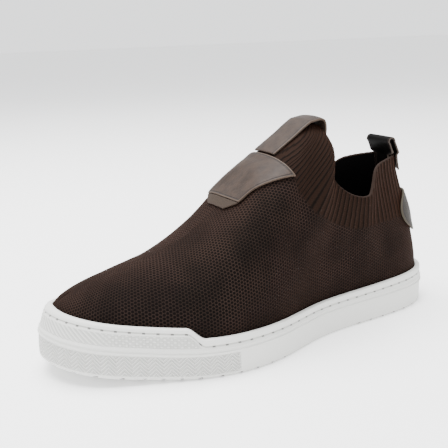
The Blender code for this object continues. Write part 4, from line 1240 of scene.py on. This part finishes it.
def arc(centre, start, turn, count):
    """Points (y, z) of a circle round a centre, from one point through a turn in degrees."""
    y, z = start - centre
    angle = np.radians(np.linspace(0.0, turn, count))
    turned = [y * np.cos(angle) - z * np.sin(angle), y * np.sin(angle) + z * np.cos(angle)]
    return centre + np.stack(turned, -1)


def free_row(middle, width, sag):
    """A row of a strap off the upper: its middle (y, z) and how its edges fall away."""
    x = ridge_x(middle[0]) + ACROSS * width / 2.0
    return np.column_stack([x, middle[0] + sag[0] * ACROSS**2, middle[1] + sag[1] * ACROSS**2])


def make_tongue_loop():
    """Up the tongue's ridge, on past its end, round a curl and back down inside it."""
    girth = ACROSS * STRAP_WIDTH / 2.0
    start = SADDLE_REAR + GAP + LEATHER
    laid = np.array([on_rib(v, girth) for v in np.linspace(start, STRAP_LEAVE, 25)])
    normal = outward_normals(laid, UP)[:, MIDDLE]
    over = laid[:, MIDDLE] + normal * LIFT
    rows = [free_row(a[1:], STRAP_WIDTH, -n[1:] * STRAP_SAG) for a, n in zip(over, normal)]
    step = (STRAP_LEAVE - start) / 6.0
    ahead = (over[-1, 1:] - over[-2, 1:]) / abs(over[-1, 1] - over[-2, 1])
    crease = over[-1, 1:] + ahead * step
    top = crease + np.array([LOOP_REACH, LOOP_RISE])
    down = np.array([0.0, -STRAP_SAG])
    rows += [free_row(over[-1, 1:] + ahead * step * t, STRAP_WIDTH, down) for t in (0.35, 0.7, 0.93)]
    rows += [free_row(crease + (top - crease) * t, STRAP_WIDTH, down) for t in (0.05, 0.3, 0.6, 0.85)]
    roll = arc(top - np.array([0.0, LOOP_ROUND]), top, -180.0, 28)
    y = np.linspace(roll[-1][0] - LOOP_LEAD, roll[-1][0] - LOOP_LEAD - LOOP_TUCK, 16)
    laid = np.array([on_rib(v, girth) for v in y])
    tail = laid - outward_normals(laid, UP) * (UPPER_WALL + LIFT + GAP)
    ease = np.interp(np.linspace(0.0, 5.0, len(y)), range(6), [1.0, 0.7, 0.4, 0.2, 0.1, 0.0])[:, None]
    tail[:, :, 2] += LOOP_ARCH * ease * (tail[:, :, 2] - tail[:, MIDDLE, 2][:, None]) - LOOP_DROP * ease
    arch = tail[0] - tail[0, MIDDLE]
    for k, point in zip(np.linspace(0.0, 9.0, len(roll)), roll):
        share = np.array([0.0, smoothstep(k, 8.0, 10.0), smoothstep(k, 2.0, 7.5)])
        rows.append(free_row(point, STRAP_WIDTH, down * (1.0 - share[2])) + arch * share)
    rows += [rows[-1] * (1.0 - t) + tail[0] * t for t in (0.3, 0.65)]
    points = np.array(rows + list(tail))
    made = sheet("leather_tongue_loop", points, UP, LEATHER, 0.0, [TAUPE, TAUPE_EDGE], ends=(0, 0))
    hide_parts("tongue_loop")


make_tongue_loop()


# The heel loop: a dark brown leather tab sewn inside and outside the collar's back, folded
# over to make a finger pull. Only its cut edge is pale.
HEEL_LOOP_WIDTH = 0.0250
HEEL_LOOP_HEIGHT = 0.0138
HEEL_LOOP_FORWARD = 0.0092
HEEL_LOOP_GAP = 0.0043
HEEL_LOOP_TUCK = 0.0110
HEEL_LOOP_LEAN = 0.0035


def on_heel(across, height):
    """Points at a height, the signed distances round from the heel's middle."""
    found = []
    for side in SIDES:
        ribs = side.ribs[: RIDGE // 2]
        line = np.array([at_length(rib, rib[:, 2], np.array([height]))[0] for rib in ribs])
        found.append(at_length(line, run(line), np.abs(across)))
    return np.where((across >= 0)[:, None], *found)


def make_heel_loop():
    """Up the collar's inner face, round a narrow fold and down its outer face."""
    half = HEEL_LOOP_WIDTH / 2.0
    top = OUTER.ribs[: RIDGE_STATION // 4, -1, 2].max()
    lowest = OUTER.ribs[:4, -1, 2].min() - 1e-5

    def row(height, outset):
        """A row on the collar's back at a height, moved outwards by a distance."""
        points = on_heel(ACROSS * half, min(height, lowest))
        ahead = np.gradient(points, axis=0)
        outward = unit(np.column_stack([-ahead[:, 1], ahead[:, 0]]))
        points[:, :2] += outward * np.sign(outward[MIDDLE, 1]) * outset
        points[:, 2] = height
        return points

    lift = LIFT + GAP
    heights = np.linspace(top - HEEL_LOOP_TUCK, top + GAP, 9)
    inside = [row(h, -(UPPER_WALL + lift)) for h in heights]
    outside = [row(h, lift) for h in heights[::-1]]
    radius = (HEEL_LOOP_GAP + LEATHER) / 2.0
    edge, back = inside[-1][MIDDLE, 1:], outside[0][MIDDLE, 1:]
    front = np.array([back[0] - HEEL_LOOP_FORWARD - HEEL_LOOP_LEAN, top + HEEL_LOOP_HEIGHT - radius])
    fold = arc(front + np.array([radius, 0.0]), front, -180.0, 25)
    bow = np.array([inside[-1][0, 1] - edge[0], 0.0])
    rows = list(inside)
    for t in (0.2, 0.4, 0.6, 0.8):
        rows.append(free_row(edge + (front - edge) * t, HEEL_LOOP_WIDTH, bow * (1.0 - t) * 0.6))
    rows += [free_row(point, HEEL_LOOP_WIDTH, bow * 0.15) for point in fold]
    for t in (0.2, 0.4, 0.6, 0.8):
        rows.append(free_row(fold[-1] + (back - fold[-1]) * t, HEEL_LOOP_WIDTH, bow * (0.15 + 0.6 * t)))
    points = np.array(rows + outside)
    # rim: a faint painted highlight along the loop's edges; its creased line is darkened as painted shade
    dark = {"tone": "060504", "shade": "040303", "rim": "100C0A"}
    hide = leather("finished_dark_brown_leather", **dark, gloss=0.04)
    finishes = [hide, cut_edge("inked_brown_edge", tone="3A322D")]
    made = sheet("leather_heel_loop", points, UP, LEATHER, 0.0, finishes, ends=(0, 0))
    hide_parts("heel_loop")


make_heel_loop()


# The heel patch: a shield of pale taupe leather on the heel's back, a little creased where
# it bends round the heel, with a sewn line inside its pale cut edge, darkened as painted shade.
PATCH_WIDTH = 0.0600
PATCH_WAIST = 0.0270
PATCH_HEIGHT = 0.0325
PATCH_FOOT = 0.0545
PATCH_CREASE = 0.0007
BACK = np.array([0.0, 1.0, 0.0])


def make_patch():
    """The shield: its width is a sine of its height, with a soft ridge down it."""
    across = np.linspace(-1.0, 1.0, 41)
    rows, ridge = [], []
    for t in np.linspace(0.0, 1.0, 31):
        half = (PATCH_WAIST + (PATCH_WIDTH - PATCH_WAIST) * np.sin(np.pi * t) ** 0.8) / 2.0
        rows.append(on_heel(across * half, PATCH_FOOT + PATCH_HEIGHT * t))
        ridge.append(PATCH_CREASE * np.exp(-(((across - 0.25 - 0.3 * t) / 0.16) ** 2)) * np.sin(np.pi * t))
    points = np.array(rows)
    points += outward_normals(points, BACK) * (OVERLAY_GAP + np.array(ridge))[..., None]
    # rim: the painted highlight along the patch's edges
    pale = {"tone": "221B15", "shade": "19140F", "rim": "372F25"}
    hide = leather("finished_pale_taupe_leather", **pale, gloss=0.1)
    finishes = [hide, cut_edge("inked_pale_edge", tone="48433A")]
    made = sheet("leather_heel_patch", points, BACK, LEATHER, 1.0, finishes)
    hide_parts("heel_patch")


make_patch()


# Floor, light and camera: a plain pale studio under one large softbox, and a camera that
# stands where the photo's did. Its target and distance are in metres, its angles in degrees.
AZIMUTH, ELEVATION, ROLL = np.radians([61.8, 15.3, -1.79])
DISTANCE = 0.484
TARGET = np.array([0.0, -0.0222, 0.0824])
FOCAL_PIXELS = 713.0
FRAME_PIXELS = 448.0
SENSOR = 36.0
FLOOR_HALF = 9.0
# The floor glows as painted light and lights the shoe from below: fully within GLOW_WHOLE metres of the
# middle, not at all past GLOW_END
FLOOR_GLOW = 0.42
GLOW_WHOLE = 0.3
GLOW_END = 2.2
WORLD_STRENGTH = 2.0


def make_camera():
    """Looks at the target from the given angles, and is rolled about its own axis."""
    right = np.array([np.cos(AZIMUTH), np.sin(AZIMUTH), 0.0])
    level = np.cos(ELEVATION)
    back = np.array([np.sin(AZIMUTH) * level, -np.cos(AZIMUTH) * level, np.sin(ELEVATION)])
    axes = np.stack([right, np.cross(back, right), back], 1)
    c, s = np.cos(ROLL), np.sin(ROLL)
    roll = np.array([[c, -s, 0.0], [s, c, 0.0], [0.0, 0.0, 1.0]])
    place = np.eye(4)
    place[:3, :3] = axes @ roll
    place[:3, 3] = TARGET + back * DISTANCE
    data = bpy.data.cameras.new("camera")
    data.sensor_width = SENSOR
    data.lens = FOCAL_PIXELS / FRAME_PIXELS * SENSOR
    data.clip_start, data.clip_end = 0.01, 50.0
    camera = bpy.data.objects.new("camera", data)
    camera.matrix_world = Matrix(place.tolist())
    bpy.context.scene.collection.objects.link(camera)
    bpy.context.scene.camera = camera


def make_floor():
    """A pale seamless floor, far wider than the view, that glows as painted light near the shoe."""
    matte = {"Roughness": 0.8, "Base Color": linear("F6F6F6"), "Specular IOR Level": 0.1}
    made, tree, shader = finish("studio_floor", {**matte, "Emission Color": linear("FFFFFF")})
    place = node(tree, "ShaderNodeTexCoord").outputs["Object"]
    far = node(tree, "ShaderNodeVectorMath", {0: place}, operation="LENGTH").outputs["Value"]
    glow = math(tree, "MULTIPLY", ramp(tree, far, GLOW_END, GLOW_WHOLE), FLOOR_GLOW)
    tree.links.new(glow, shader.inputs["Emission Strength"])
    mesh = bpy.data.meshes.new("floor")
    corners = [(x * FLOOR_HALF, y * FLOOR_HALF, 0.0) for x, y in ((-1, -1), (1, -1), (1, 1), (-1, 1))]
    mesh.from_pydata(corners, [], [(0, 1, 2, 3)])
    mesh.materials.append(made)
    floor = bpy.data.objects.new("floor", mesh)
    bpy.context.scene.collection.objects.link(floor)


def make_light(name, place, size, power, aim=(0.0, 0.0, 0.05)):
    """A square softbox of the given size and power, turned to the shoe."""
    data = bpy.data.lights.new(name, "AREA")
    data.shape, data.size, data.energy = "SQUARE", size, power
    lamp = bpy.data.objects.new(name, data)
    away = unit(np.array(place) - np.array(aim))
    right = unit(np.cross(UP + [0.0, 1e-3, 0.0], away))
    turned = np.eye(4)
    turned[:3, :3] = np.stack([right, np.cross(away, right), away], 1)
    turned[:3, 3] = place
    lamp.matrix_world = Matrix(turned.tolist())
    bpy.context.scene.collection.objects.link(lamp)


make_camera()
make_floor()
make_light("overhead_softbox", (-0.2, -0.2, 1.3), 1.0, 54.0)
make_light("side_softbox", (1.1, -0.9, 0.7), 0.9, 7.0)
world = bpy.context.scene.world or bpy.data.worlds.new("studio")
bpy.context.scene.world = world
world.use_nodes = True
background = next(n for n in world.node_tree.nodes if n.type == "BACKGROUND")
background.inputs["Color"].default_value = linear("F4F5F6")
background.inputs["Strength"].default_value = WORLD_STRENGTH
